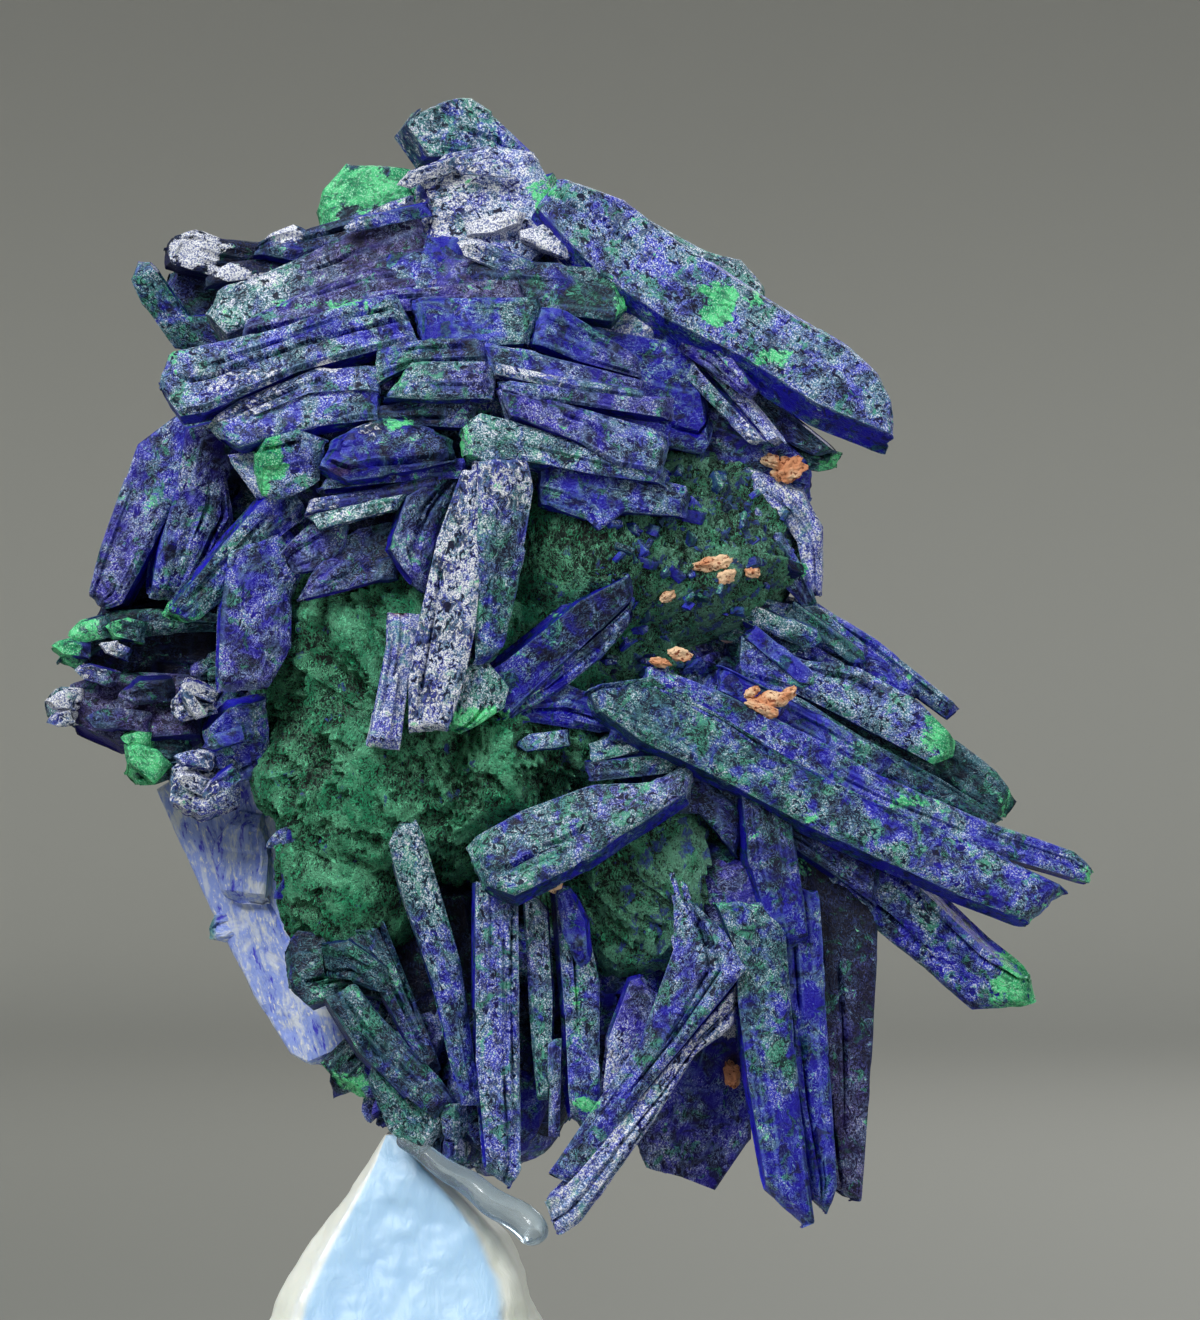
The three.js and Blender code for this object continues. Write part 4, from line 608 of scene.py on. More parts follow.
def unit(vector):
    """The vector brought to length 1."""
    return vector / np.linalg.norm(vector)


def link_new(name, data):
    """A new object in the scene that shows this mesh, camera or light."""
    made = bpy.data.objects.new(name, data)
    bpy.context.collection.objects.link(made)
    return made


class Surface:
    """Points in millimetres, four-sided faces, the masks of each point and its place on its own crystal,
    gathered from many crystals into one mesh."""

    def __init__(self):
        self.points, self.faces, self.masks, self.grain = [], [], [], []
        self.count = 0

    def add(self, points, faces, masks, grain):
        """Adds one closed shape, turned so that its faces point outwards: the sum of each face's corner
        dotted with its area is positive for a shape whose faces do."""
        corner = points[faces]
        area = np.cross(corner[:, 2] - corner[:, 0], corner[:, 3] - corner[:, 1])
        if np.einsum("ij,ij->", corner.mean(axis=1) - points.mean(axis=0), area) < 0:
            faces = faces[:, ::-1]
        self.faces.append(faces + self.count)
        self.points.append(points)
        self.masks.append(masks)
        self.grain.append(grain)
        self.count += len(points)

    def mesh_object(self, name, material):
        """One mesh object in metres, its seams and poles merged, with a float attribute for each mask and
        a vector attribute for the place on the crystal. Edges sharper than CREASE stay crisp."""
        points = np.concatenate(self.points) * MM
        low, high = (np.array(corner) for corner in cad_bounds)
        points = np.clip(points, low, high)
        faces = np.concatenate(self.faces)
        mesh = bpy.data.meshes.new(name)
        mesh.vertices.add(len(points))
        mesh.vertices.foreach_set("co", points.ravel())
        mesh.loops.add(faces.size)
        mesh.loops.foreach_set("vertex_index", faces.ravel())
        mesh.polygons.add(len(faces))
        mesh.polygons.foreach_set("loop_start", np.arange(0, faces.size, 4))
        mesh.update(calc_edges=True)
        masks = np.concatenate(self.masks)
        for mask in MASKS:
            layer = mesh.attributes.new(mask, "FLOAT", "POINT")
            values = np.ascontiguousarray(mask_of(masks, mask), dtype=np.float32)
            layer.data.foreach_set("value", values)
        layer = mesh.attributes.new("grain", "FLOAT_VECTOR", "POINT")
        layer.data.foreach_set("vector", (np.concatenate(self.grain) * MM).astype(np.float32).ravel())
        shape = bmesh.new()
        shape.from_mesh(mesh)
        bmesh.ops.remove_doubles(shape, verts=shape.verts, dist=2e-7)
        shape.to_mesh(mesh)
        shape.free()
        mesh.polygons.foreach_set("use_smooth", np.full(len(mesh.polygons), True))
        mesh.set_sharp_from_angle(angle=math.radians(CREASE))
        mesh.materials.append(material)
        return link_new(name, mesh)


def grid_faces(rows, columns):
    """Four-sided faces between neighbouring rows and columns of a grid that closes on itself: its last
    column is joined to the first."""
    row = np.arange(rows - 1)[:, None]
    column = np.arange(columns)[None, :]
    after = (column + 1) % columns
    corners = (row * columns + column, row * columns + after,
               (row + 1) * columns + after, (row + 1) * columns + column)
    return np.stack([np.broadcast_to(c, corners[0].shape) for c in corners], axis=-1).reshape(-1, 4)


def chain_shares(points):
    """The share of a polyline's length at which each of its points lies."""
    steps = np.hypot(*np.diff(points, axis=0).T)
    return np.concatenate([[0], np.cumsum(steps)]) / steps.sum()


def along_chain(points, stations):
    """Points on a polyline at the given shares of its length."""
    shares = chain_shares(points)
    return np.column_stack([np.interp(stations, shares, points[:, axis]) for axis in (0, 1)])


def face_relief(place, seed):
    """How far a crystal's surface lies below its outline: grooves drawn out along the lath, chipped pits
    and a fine roughness. place is (along, across, depth) in millimetres."""
    stretched = place * (0.22, 3.0, 3.0)
    fine_lines = noise(stretched, seed) * 0.65 + noise(stretched * (1.6, 2.4, 2.4), seed + 3) * 0.35
    chips = smooth_step((noise(place * (0.8, 1.3, 1.3), seed + 7) - 0.68) * 9)
    fine = rough(place * 2.9, seed + 8, 2)
    return STRIATION * fine_lines ** 1.4 + PIT * chips * fine + GRAIN * fine


def sheet_relief(along_share, across_share, count, draw):
    """How far the face lies under the thin sheets that cover it, from 0 to 1: each sheet is a patch drawn
    out along the lath, with slanting ends and a level of its own, and the highest sheet shows."""
    lowest = np.ones(np.broadcast(along_share, across_share).shape)
    low = (-0.1, 0.0, 0.1, 0.08, -0.12, 0.0)
    high = (1.1, 1.0, 0.45, 0.36, 0.12, 0.85)
    for middle, centre, half_long, half_wide, slant, level in draw.uniform(low, high, (count, 6)):
        lengthwise = np.abs(along_share - middle + slant * (across_share - centre)) / half_long
        inside = np.maximum(lengthwise, np.abs(across_share - centre) / half_wide) < 1
        lowest = np.where(inside, np.minimum(lowest, level), lowest)
    return lowest


def spot_masks(points, masks, facing):
    """Adds the listed spots of colour to the points that face the front: each spot fades from its
    middle to its radii, with a ragged rim."""
    for (x, z), (radius_x, radius_z), name, strength in SPOTS:
        near = np.hypot((points[:, 0] - x) / radius_x, (points[:, 2] - z) / radius_z)
        touched = np.flatnonzero((near < SPOT_REACH) & facing & (points[:, 1] < SPOT_BACK))
        if len(touched):
            ragged = near[touched] + 0.9 * (noise(points[touched] * 1.7, 21) - 0.5)
            colour = strength * smooth_step(1.6 - 1.3 * ragged)
            mask = mask_of(masks, name)
            mask[touched] = np.maximum(mask[touched], colour)


def deep_grooves(along_share, across_share, wide, draw):
    """Up to two grooves on a lath that is wide enough for them, each as its depth at every point: it waves
    a little as it runs along, has straight walls, and fades in and out at its own shares of the length."""
    count = draw.integers(0, 3) if wide.max() > 1.5 else 0
    low = (0.15, -0.3, 0.45, 0)
    high = (0.85, 0.4, 1.2, 9)
    for middle, begin, end, wave in draw.uniform(low, high, (count, 4)):
        line = middle + 0.03 * np.sin(along_share * 7 + wave)
        off_line = np.abs(across_share - line) * wide / GROOVE_HALF_WIDTH
        within = smooth_step((along_share - begin) * 6) * smooth_step((end - along_share) * 6)
        yield GROOVE * np.clip(1 - off_line, 0, 1) * within


def on_grid(pattern, place, *settings):
    """A pattern such as the noise, read at every place of a grid."""
    return pattern(place.reshape(-1, 3), *settings).reshape(place.shape[:-1])


def lath_frame(item):
    """Where a lath lies: the middle of its root, its length, its flat ways along and across as [x, z], the
    depth that it gains along each of them, and its unit ways along, across and inward in space."""
    root = (item.first[0] + item.second[0]) / 2
    run = (item.first[-1] + item.second[-1]) / 2 - root
    length = np.hypot(*run)
    along = run / length
    across = np.array([-along[1], along[0]])
    if across @ (item.second[0] - item.first[0]) < 0:
        across = -across
    gain_along = (item.depths[1] - item.depths[0]) / length
    gain_across = math.tan(item.roll)
    way = unit(np.array([along[0], gain_along, along[1]]))
    side = np.array([across[0], gain_across, across[1]])
    inward = np.cross(way, side)
    inward *= math.copysign(1, inward[1]) / np.linalg.norm(inward)
    side = unit(side - way * (side @ way))
    return SimpleNamespace(root=root, length=length, along=along, across=across, gain_along=gain_along,
                           gain_across=gain_across, way=way, side=side, inward=inward)


def section_ring(face_columns, side_columns):
    """The points round a lath's section: over the broad face from one edge to the other, round the second
    edge, back over the hidden face and round the first edge. Each has its share across and its share of
    the depth, and its inward way as how far it goes across and how far it goes deep."""
    face = np.linspace(0, 1, face_columns + 1)
    wall = np.linspace(0, 1, side_columns + 1)[1:-1]
    flat, upright = np.zeros(len(face)), np.zeros(len(wall))
    share_across = np.concatenate([face, upright + 1, face[::-1], upright])
    share_deep = np.concatenate([flat, wall, flat + 1, wall[::-1]])
    push_across = np.concatenate([flat, upright - 1, flat, upright + 1])
    push_deep = np.concatenate([flat + 1, upright, flat - 1, upright])
    corner_push = 0.7
    for corner, turn in ((0, 1), (len(face) - 1, -1)):
        mirror = 2 * len(face) + len(wall) - 1 - corner
        push_across[[corner, mirror]] = corner_push * turn
        push_deep[[corner, mirror]] = corner_push, -corner_push
    return share_across, share_deep, push_across, push_deep


def add_lath(surface, item, seed, coarseness):
    """A lath's surface on a grid of stations along it by points round its section. The broad face slopes
    away near both edges and both ends, as facets do, and each end closes on a line at half its depth."""
    draw = np.random.default_rng(seed)
    lie = lath_frame(item)
    length = lie.length

    rows = max(6, round(length / (CELL_ALONG * coarseness)))
    shares = [np.linspace(0, 1, rows + 1), chain_shares(item.first), chain_shares(item.second)]
    shares = np.unique(np.round(np.concatenate(shares), 4))
    edge_a = along_chain(item.first, shares)
    edge_b = along_chain(item.second, shares)
    width = np.hypot(*(edge_b - edge_a).T)
    face_columns = max(5, round(width.max() / (CELL_ACROSS * coarseness)))
    side_columns = max(2, round(item.thick / (CELL_DEEP * coarseness)))
    share_across, share_deep, push_across, push_deep = section_ring(face_columns, side_columns)

    # a few more rows at each end, in which the section closes at half its depth
    station = np.pad(np.arange(len(shares)), len(END_CLOSING), mode="edge")
    opening = np.concatenate([END_CLOSING, np.ones(len(shares)), END_CLOSING[::-1]])[:, None]
    reached = shares[station][:, None] * length
    left = length - reached
    along_share = reached / length
    wide = width[station][:, None]
    aside = share_across * wide

    # the facets along the edges and at the ends
    facet = draw.uniform(0.12, 0.5, 2) * min(1, item.thick / 2)
    end_facet = draw.uniform(0.3, 0.8, 2) * min(1, item.thick / 2)
    falls = (0 * aside, FACET_LEAN * (facet[0] - aside), FACET_LEAN * (facet[1] - (wide - aside)),
             FACET_LEAN * (end_facet[0] - reached), TIP_LEAN * (end_facet[1] - left))
    drop = np.maximum.reduce(np.broadcast_arrays(*falls))
    face_depth = np.minimum(drop, 0.42 * item.thick)
    back_depth = item.thick - np.minimum(drop, 0.3 * item.thick)
    deep = face_depth + (back_depth - face_depth) * share_deep
    middle = 0.5 * (face_depth + back_depth)
    deep = middle + (deep - middle) * opening

    start = edge_a[station][:, None, :]
    flat = start + (edge_b[station][:, None, :] - start) * share_across[:, None]
    offset = flat - lie.root
    place = np.stack([offset @ lie.along, offset @ lie.across, deep], axis=-1)
    depth = item.depths[0] + place[..., 0] * lie.gain_along + place[..., 1] * lie.gain_across
    points = np.stack([flat[..., 0], depth, flat[..., 1]], axis=-1) + deep[..., None] * lie.inward

    # the surface sinks by its relief, and the ends are ragged
    sunk = on_grid(face_relief, place + draw.uniform(0, 40, 3), seed % 97)
    thin = np.minimum(1, 0.22 * np.minimum(item.thick, wide) / 0.3)
    sheet_count = 3 + round(length * width.mean() / 3)
    sheets = sheet_relief(along_share, share_across[None, :], sheet_count, draw)
    sunk = sunk + SHEET * sheets
    for groove in deep_grooves(along_share, share_across, wide, draw):
        sunk = sunk + groove
    sunk = np.minimum(sunk * thin, 0.3 * item.thick)
    points += sunk[..., None] * (push_across[:, None] * lie.side + push_deep[:, None] * lie.inward)
    ragged = on_grid(rough, place * (0, 1.9, 1.9) + draw.uniform(0, 40, 3), seed % 89, 2)
    near_end = smooth_step(1 - left / RAGGED_REACH) - smooth_step(1 - reached / RAGGED_REACH)
    points -= (RAGGED * ragged ** 1.5 * near_end)[..., None] * lie.way

    # the looks of root and tip run into each other, green grows in from the ends, and the rims of the
    # face and of its thin sheets are paler, partly as wear and partly as a painted edge highlight
    masks = np.zeros(deep.shape + (len(MASKS),))
    mix = smooth_step(along_share * 1.2 - 0.1 + 0.5 * (on_grid(noise, place * 0.35 + seed, 31) - 0.5))
    root_look, tip_look = (np.array(LOOKS[name]) for name in item.looks)
    masks[..., :len(LOOK_PARTS)] = root_look + (tip_look - root_look) * mix[..., None]
    wander = 2.2 * (on_grid(rough, place * 0.7 + seed, 33, 2) - 0.5)
    green = mask_of(masks, "green")
    for amount, distance in zip(item.green, (reached, left)):
        cover = amount * smooth_step((GREEN_REACH * (0.5 + amount) - distance + wander) / 1.2)
        green[...] = np.maximum(green, cover)
    to_rim = np.minimum.reduce(np.broadcast_arrays(aside, wide - aside, reached, left))
    on_face = np.broadcast_to(push_deep > 0, deep.shape)
    beside = ((1, 0), (-1, 0), (1, 1), (-1, 1))
    higher = np.maximum.reduce([np.roll(sheets, turn, axis) - sheets for turn, axis in beside]) > 0.15
    mask_of(masks, "edge")[...] = np.maximum(smooth_step(1 - to_rim / RIM), 0.8 * higher) * on_face
    mask_of(masks, "side")[...] = (push_across != 0) & ~on_face
    points = points.reshape(-1, 3)
    masks = masks.reshape(-1, len(MASKS))
    spot_masks(points, masks, on_face.ravel())
    surface.add(points, grid_faces(*deep.shape), masks, place.reshape(-1, 3) + draw.uniform(0, 60, 3))


def reach_of(lobes, centre, rays):
    """How far each ray from the centre runs before it leaves the lobes: the smooth maximum of its exits
    from the ellipsoids."""
    total = np.zeros(len(rays))
    sharpness = 10
    for place, radii in lobes:
        start = (np.array(centre) - place) / radii
        step = rays / radii
        a = (step * step).sum(axis=1)
        b = step @ start
        inside = b * b - a * (start @ start - 1)
        out = np.where(inside < 0, 0, (np.sqrt(np.maximum(inside, 0)) - b) / a)
        total += np.maximum(out, 0) ** sharpness
    return total ** (1 / sharpness)


def ball_rays(columns, rows):
    """Unit rays on a grid of longitudes by latitudes, from the lower pole to the upper one."""
    latitude = np.linspace(-math.pi / 2, math.pi / 2, rows)[:, None]
    longitude = np.linspace(0, 2 * math.pi, columns, endpoint=False)[None, :]
    rays = np.stack([np.cos(latitude) * np.cos(longitude), np.cos(latitude) * np.sin(longitude),
                     np.sin(latitude) + 0 * longitude], axis=-1)
    return rays.reshape(-1, 3)


def add_crowd(surface, core, seed):
    """The crowded middle of an intergrowth: a lumpy ball whose skin is broken into the flat ends of
    small crystals. Each end is the cell of its own random ray, tilted and sunk by its own amount, and a
    groove runs where two cells meet."""
    centre, lobes = core
    cells, columns, rows = 150, 120, 72
    draw = np.random.default_rng(seed)
    rays = ball_rays(columns, rows)
    heads = draw.normal(size=(cells, 3))
    heads /= np.linalg.norm(heads, axis=1)[:, None]
    tilt = draw.normal(size=(cells, 3)) * 0.5
    sunk = draw.uniform(0.05, 0.9, cells)
    closeness = rays @ heads.T
    order = np.argpartition(-closeness, 2, axis=1)[:, :2]
    pair = np.take_along_axis(closeness, order, axis=1)
    first = np.take_along_axis(order, pair.argmax(axis=1)[:, None], axis=1)[:, 0]
    border = np.abs(pair[:, 0] - pair[:, 1])
    reach = reach_of(lobes, centre, rays)
    lean = np.einsum("ij,ij->i", rays - heads[first], tilt[first]) * reach
    relief = sunk[first] + np.clip(lean, -0.5, 0.9) + 0.35 * smooth_step(1 - border / 0.012)
    points = np.array(centre) + rays * (reach - np.clip(relief + 0.5, 0, 1.8))[:, None]
    points -= rays * face_relief(points, seed % 97)[:, None] * 0.6
    masks = np.zeros((len(points), len(MASKS)))
    names = ("blue", "deep", "navy", "violet", "teal", "steel")
    looks = np.array([LOOKS[name] for name in names])
    masks[:, :len(LOOK_PARTS)] = looks[draw.integers(0, len(names), cells)][first]
    # pale lines beside the cell borders: partly wear and partly a painted edge highlight
    mask_of(masks, "edge")[:] = smooth_step(1 - np.abs(border - 0.02) / 0.012) * 0.6
    spot_masks(points, masks, np.full(len(points), True))
    surface.add(points, grid_faces(rows, columns), masks, points + 20)


PLATE_OUTLINE = np.array([[-0.5, -0.2], [-0.42, -0.5], [0.4, -0.5], [0.5, 0.1], [0.43, 0.5], [-0.46, 0.5]])
PLATE_FACES = np.array(
    [[i, (i + 1) % 6, 6 + (i + 1) % 6, 6 + i] for i in range(6)]
    + [[6 + i, 6 + (i + 1) % 6, 12 + (i + 1) % 6, 12 + i] for i in range(6)]
    + [[0, 3, 2, 1], [0, 5, 4, 3], [12, 13, 14, 15], [12, 15, 16, 17]])


def add_plate(surface, base, axes, size, look, draw):
    """A six-sided plate with a bevelled top: its outline at the foot, at the shoulder and, drawn in by
    the bevel, at the top. axes are its ways along, across and up, and size its length, width and height."""
    bevel = min(0.06, 0.2 * size[1])
    drawn_in = 1 - 2 * bevel / np.array(size[:2])
    plan = np.concatenate([PLATE_OUTLINE, PLATE_OUTLINE, PLATE_OUTLINE * drawn_in]) * size[:2]
    plan[:, 0] *= np.repeat([draw.uniform(0.85, 1.1, 6)], 3, axis=0).ravel()
    height = np.repeat([0, size[2] - bevel, size[2]], 6)
    points = base + np.column_stack([plan, height]) @ np.array(axes)
    masks = np.zeros((18, len(MASKS)))
    masks[:, :len(LOOK_PARTS)] = LOOKS[look]
    mask_of(masks, "side")[:12] = 1
    # the shoulder's pale rim: partly wear and partly a painted edge highlight
    mask_of(masks, "edge")[6:12] = 0.6
    place = np.column_stack([plan, height]) + draw.uniform(0, 50, 3)
    surface.add(points, PLATE_FACES, masks, place)


def add_druse(surface, felt, count, seed):
    """Small blades strewn over the right of the felt, each on a point of the felt, with its foot sunk in
    it. It stands out from the lump's middle, leant a little, and is turned any way."""
    draw = np.random.default_rng(seed)
    ground = felt[((felt > STREWN_LOW) & (felt < STREWN_HIGH)).all(axis=1)]
    centre = np.array(MALACHITE[0])
    for point in ground[draw.integers(0, len(ground), count)]:
        up = point - centre
        up = unit(up + draw.normal(size=3) * 0.35 * np.linalg.norm(up))
        way = unit(np.cross(up, draw.normal(size=3) * (0.5, 0.5, 1.4)))
        long = draw.uniform(0.4, 1.3)
        size = (long, long * draw.uniform(0.2, 0.45), draw.uniform(0.45, 0.7))
        look = draw.choice(["blue", "navy", "teal", "green", "steel", "black"],
                           p=[0.2, 0.24, 0.18, 0.2, 0.08, 0.1])
        add_plate(surface, point - up * 0.46, (way, np.cross(up, way), up), size, look, draw)


# Materials


class Shader:
    """A material's node tree, built one node at a time. Inputs are given by name or index, as a value or
    as another node's output."""

    def __init__(self, name):
        self.material = bpy.data.materials.new(name)
        self.material.use_nodes = True
        self.tree = self.material.node_tree
        self.surface = self.tree.nodes["Principled BSDF"]

    def node(self, kind, inputs=None, output=0, **settings):
        made = self.tree.nodes.new("ShaderNode" + kind)
        for key, value in settings.items():
            setattr(made, key, value)
        self.fill(made, inputs or {})
        return made.outputs[output]

    def fill(self, node, inputs):
        for key, value in inputs.items():
            if isinstance(value, bpy.types.NodeSocket):
                self.tree.links.new(value, node.inputs[key])
            else:
                node.inputs[key].default_value = value

    def finish(self, **inputs):
        self.fill(self.surface, {key.replace("_", " "): value for key, value in inputs.items()})
        return self.material

    def mask(self, name):
        return self.node("Attribute", attribute_name=name, output="Fac")

    def math(self, operation, a, b=0.0, c=0.0):
        return self.node("Math", {0: a, 1: b, 2: c}, operation=operation)

    def times(self, a, b):
        return self.math("MULTIPLY", a, b)

    def add_times(self, a, b, start):
        """start + a * b."""
        return self.math("MULTIPLY_ADD", a, b, start)

    def swing(self, value, middle=0.5):
        """How far the value lies above its middle, or below it as less than 0."""
        return self.math("SUBTRACT", value, middle)

    def mix(self, share, a, b):
        return self.node("Mix", {0: share, 6: a, 7: b}, output=2, data_type="RGBA")

    def ramp(self, value, low, high, to_low=0.0, to_high=1.0):
        """The value stretched from low..high to to_low..to_high and held there, along an S curve."""
        return self.node("MapRange", {0: value, 1: low, 2: high, 3: to_low, 4: to_high},
                         interpolation_type="SMOOTHSTEP")

    def thin_lines(self, value, middle, far, near=0.012):
        """Lines where the value crosses its middle: full where it is nearer than near, none past far."""
        return self.ramp(self.math("ABSOLUTE", self.swing(value, middle)), far, near)

    def cloud(self, place, scale, detail=2.0, roughness=0.5, distortion=0.0):
        return self.node("TexNoise", {"Vector": place, "Scale": scale, "Detail": detail,
                                      "Roughness": roughness, "Distortion": distortion})

    def stretched(self, place, scale):
        return self.node("Mapping", {"Vector": place, "Scale": scale}, vector_type="POINT")

    def bump(self, height, strength, distance):
        return self.node("Bump", {"Strength": strength, "Distance": distance, "Height": height})


def rgb(red, green, blue):
    """A colour given as 0 to 255 as a screen shows it, in the linear values that a shader takes."""
    linear = [((v / 255 + 0.055) / 1.055) ** 2.4 if v > 10 else v / 255 / 12.92 for v in (red, green, blue)]
    return (*linear, 1)


SPECKLE_SCALE = 3700  # noise cells per metre, for a web of specks about 0.3 mm apart
PATCH_SCALE = 720  # and for patches of colour about 1.4 mm apart


def azurite_material():
    """Azurite: a navy to ultramarine ground under a fine web of steel, lavender or teal specks, thick at
    the faces and thin at the sides, with painted white glints, pale edges that are partly worn and partly
    a painted highlight, and ends grown over with green."""
    s = Shader("azurite_crystal")
    place = s.node("Attribute", attribute_name="grain", output="Vector")
    drawn = s.stretched(place, (0.72, 1.0, 1.0))
    patch = s.cloud(place, PATCH_SCALE, 3, 0.65, 0.6)
    hue_place = s.node("VectorMath", {0: place, 1: (0.031, 0.007, 0.019)}, operation="ADD")
    hue_patch = s.cloud(hue_place, PATCH_SCALE * 1.2, 3, 0.65, 0.6)
    speck = s.cloud(drawn, SPECKLE_SCALE, 3, 0.6, 0.9)
    fine = s.cloud(place, SPECKLE_SCALE * 3.4, 2, 0.6, 0.3)
    side, edge = s.mask("side"), s.mask("edge")
    patch_swing = s.swing(patch)
    hue_swing = s.swing(hue_patch)

    # how much of the face the specks cover: thin lines where the noise crosses its middle, and blots
    # where it is high
    cover = s.add_times(patch_swing, 2.6, s.mask("steel"))
    cover = s.add_times(side, -0.5, cover)
    web = s.thin_lines(speck, 0.47, 0.06)
    web = s.times(web, s.ramp(cover, -0.1, 0.7, 0.18, 1.0))
    level = s.add_times(cover, -0.22, 0.68)
    blot = s.ramp(speck, s.math("SUBTRACT", level, 0.02), s.math("ADD", level, 0.05))
    amount = s.math("MAXIMUM", web, blot)

    ultra = s.add_times(hue_swing, 3.0, s.mask("ultra"))
    ultra = s.add_times(side, 0.5, ultra)
    ground = s.mix(s.ramp(ultra, 0.3, 1.1), rgb(5, 10, 50), rgb(18, 8, 162))
    teal = s.add_times(patch_swing, 1.4, s.mask("teal"))
    teal = s.ramp(s.add_times(hue_swing, -2.4, teal), 0.2, 0.9)
    ground = s.mix(s.times(side, 0.6), ground, rgb(24, 10, 210))
    ground = s.mix(s.times(teal, 0.7), ground, rgb(5, 30, 52))
    ground = s.mix(s.times(s.mask("violet"), 0.3), ground, rgb(44, 24, 116))
    ground = s.mix(s.times(s.mask("white"), 0.8), ground, rgb(8, 14, 34))
    light = s.mix(s.ramp(hue_patch, 0.38, 0.62), rgb(122, 170, 212), rgb(88, 104, 228))
    light = s.mix(s.times(teal, 0.9), light, rgb(82, 152, 152))
    light = s.mix(s.times(s.mask("violet"), 0.5), light, rgb(130, 114, 214))
    light = s.mix(s.ramp(fine, 0.56, 0.4, 0.0, 0.45), light, ground)
    # painted highlight: white glints among the specks, where the fine noise is high
    painted_glint = s.times(s.ramp(fine, 0.5, 0.62), s.ramp(cover, 0.15, 0.9))
    light = s.mix(painted_glint, light, rgb(232, 240, 254))
    colour = s.mix(amount, ground, light)
    # pale rims: partly wear and partly a painted edge highlight
    colour = s.mix(s.times(edge, 0.6), colour, light)

    brown = s.times(s.mask("brown"), s.ramp(hue_patch, 0.35, 0.6, 0.3, 1.0))
    colour = s.mix(brown, colour, s.mix(amount, rgb(40, 20, 24), rgb(132, 96, 84)))
    gloom = s.times(s.ramp(s.cloud(place, 1250, 2, 0.6, 0.7), 0.44, 0.36), 0.75)
    gloom = s.times(gloom, s.math("SUBTRACT", 1.0, s.mask("white")))
    dark = s.math("MAXIMUM", s.times(s.mask("dark"), 0.85), gloom)
    colour = s.mix(dark, colour, s.mix(amount, rgb(4, 6, 30), rgb(40, 54, 100)))
    white = s.add_times(s.swing(speck), 1.9, s.mask("white"))
    white = s.ramp(s.add_times(patch_swing, 0.8, white), 0.42, 0.62)
    colour = s.mix(white, colour, s.mix(s.ramp(fine, 0.4, 0.56), rgb(110, 122, 172), rgb(250, 252, 255)))
    green = s.add_times(s.swing(speck), 1.6, s.mask("green"))
    green = s.ramp(s.add_times(patch_swing, 2.0, green), 0.4, 0.7)
    moss = s.ramp(s.add_times(teal, 0.05, s.cloud(place, 1050, 3, 0.65, 0.8)), 0.57, 0.64)
    moss = s.times(moss, s.add_times(s.mask("white"), -0.7, 0.7))
    moss_leaf = s.mix(amount, rgb(4, 44, 42), rgb(72, 168, 134))
    colour = s.mix(moss, colour, moss_leaf)
    leaf = s.mix(s.ramp(patch, 0.42, 0.58), rgb(34, 158, 104), rgb(94, 222, 146))
    # painted highlight: pale glints on the green
    leaf = s.mix(s.ramp(fine, 0.5, 0.66), leaf, rgb(170, 244, 200))
    leaf = s.mix(s.ramp(speck, 0.5, 0.42, 0.0, 0.6), leaf, rgb(10, 84, 68))
    colour = s.mix(green, colour, leaf)

    lines = s.cloud(s.stretched(place, (0.12, 1.0, 1.0)), 5200, 2, 0.6)
    height = s.add_times(fine, 0.35, s.times(speck, 0.7))
    height = s.add_times(lines, 0.35, height)
    bump = s.bump(height, 0.75, 0.00016)
    gloss = s.ramp(speck, 0.35, 0.65, 0.5, 0.34)
    return s.finish(Base_Color=colour, Roughness=gloss, Normal=bump, Specular_IOR_Level=0.3)


def pale_material():
    """Bleached azurite: lavender with white and ultramarine streaks drawn out along the slab, and a few
    painted bright glints."""
    s = Shader("pale_azurite_crystal")
    place = s.node("Attribute", attribute_name="grain", output="Vector")
    streaks = s.cloud(s.stretched(place, (0.2, 1.0, 1.0)), 2300, 4, 0.65, 0.7)
    fine = s.cloud(s.stretched(place, (0.4, 1.0, 1.0)), 7000, 3, 0.6, 0.4)
    patch = s.cloud(place, 480, 4, 0.6, 0.6)
    swing = s.times(s.swing(patch), 0.8)
    tone = s.math("ADD", s.add_times(s.swing(fine), 0.5, streaks), swing)
    colour = s.mix(s.ramp(tone, 0.24, 0.4), rgb(76, 76, 224), rgb(160, 182, 254))
    colour = s.mix(s.ramp(tone, 0.46, 0.62), colour, rgb(212, 224, 255))
    colour = s.mix(s.ramp(patch, 0.52, 0.64, 0.0, 0.7), colour, rgb(240, 246, 255))
    # painted highlight: a few bright glints where the fine noise is high
    colour = s.mix(s.ramp(fine, 0.6, 0.68), colour, rgb(248, 250, 255))
    deep = s.times(s.math("SUBTRACT", 1.0, s.mask("white")), s.ramp(s.mask("ultra"), 0.5, 0.9))
    colour = s.mix(deep, colour, s.mix(s.ramp(fine, 0.45, 0.6), rgb(12, 10, 60), rgb(40, 36, 178)))
    colour = s.mix(s.ramp(s.mask("green"), 0.3, 0.6), colour, s.mix(fine, rgb(6, 70, 56), rgb(60, 170, 124)))
    height = s.add_times(fine, 0.4, streaks)
    bump = s.bump(height, 0.8, 0.0002)
    return s.finish(Base_Color=colour, Roughness=0.42, Normal=bump, Specular_IOR_Level=0.35)


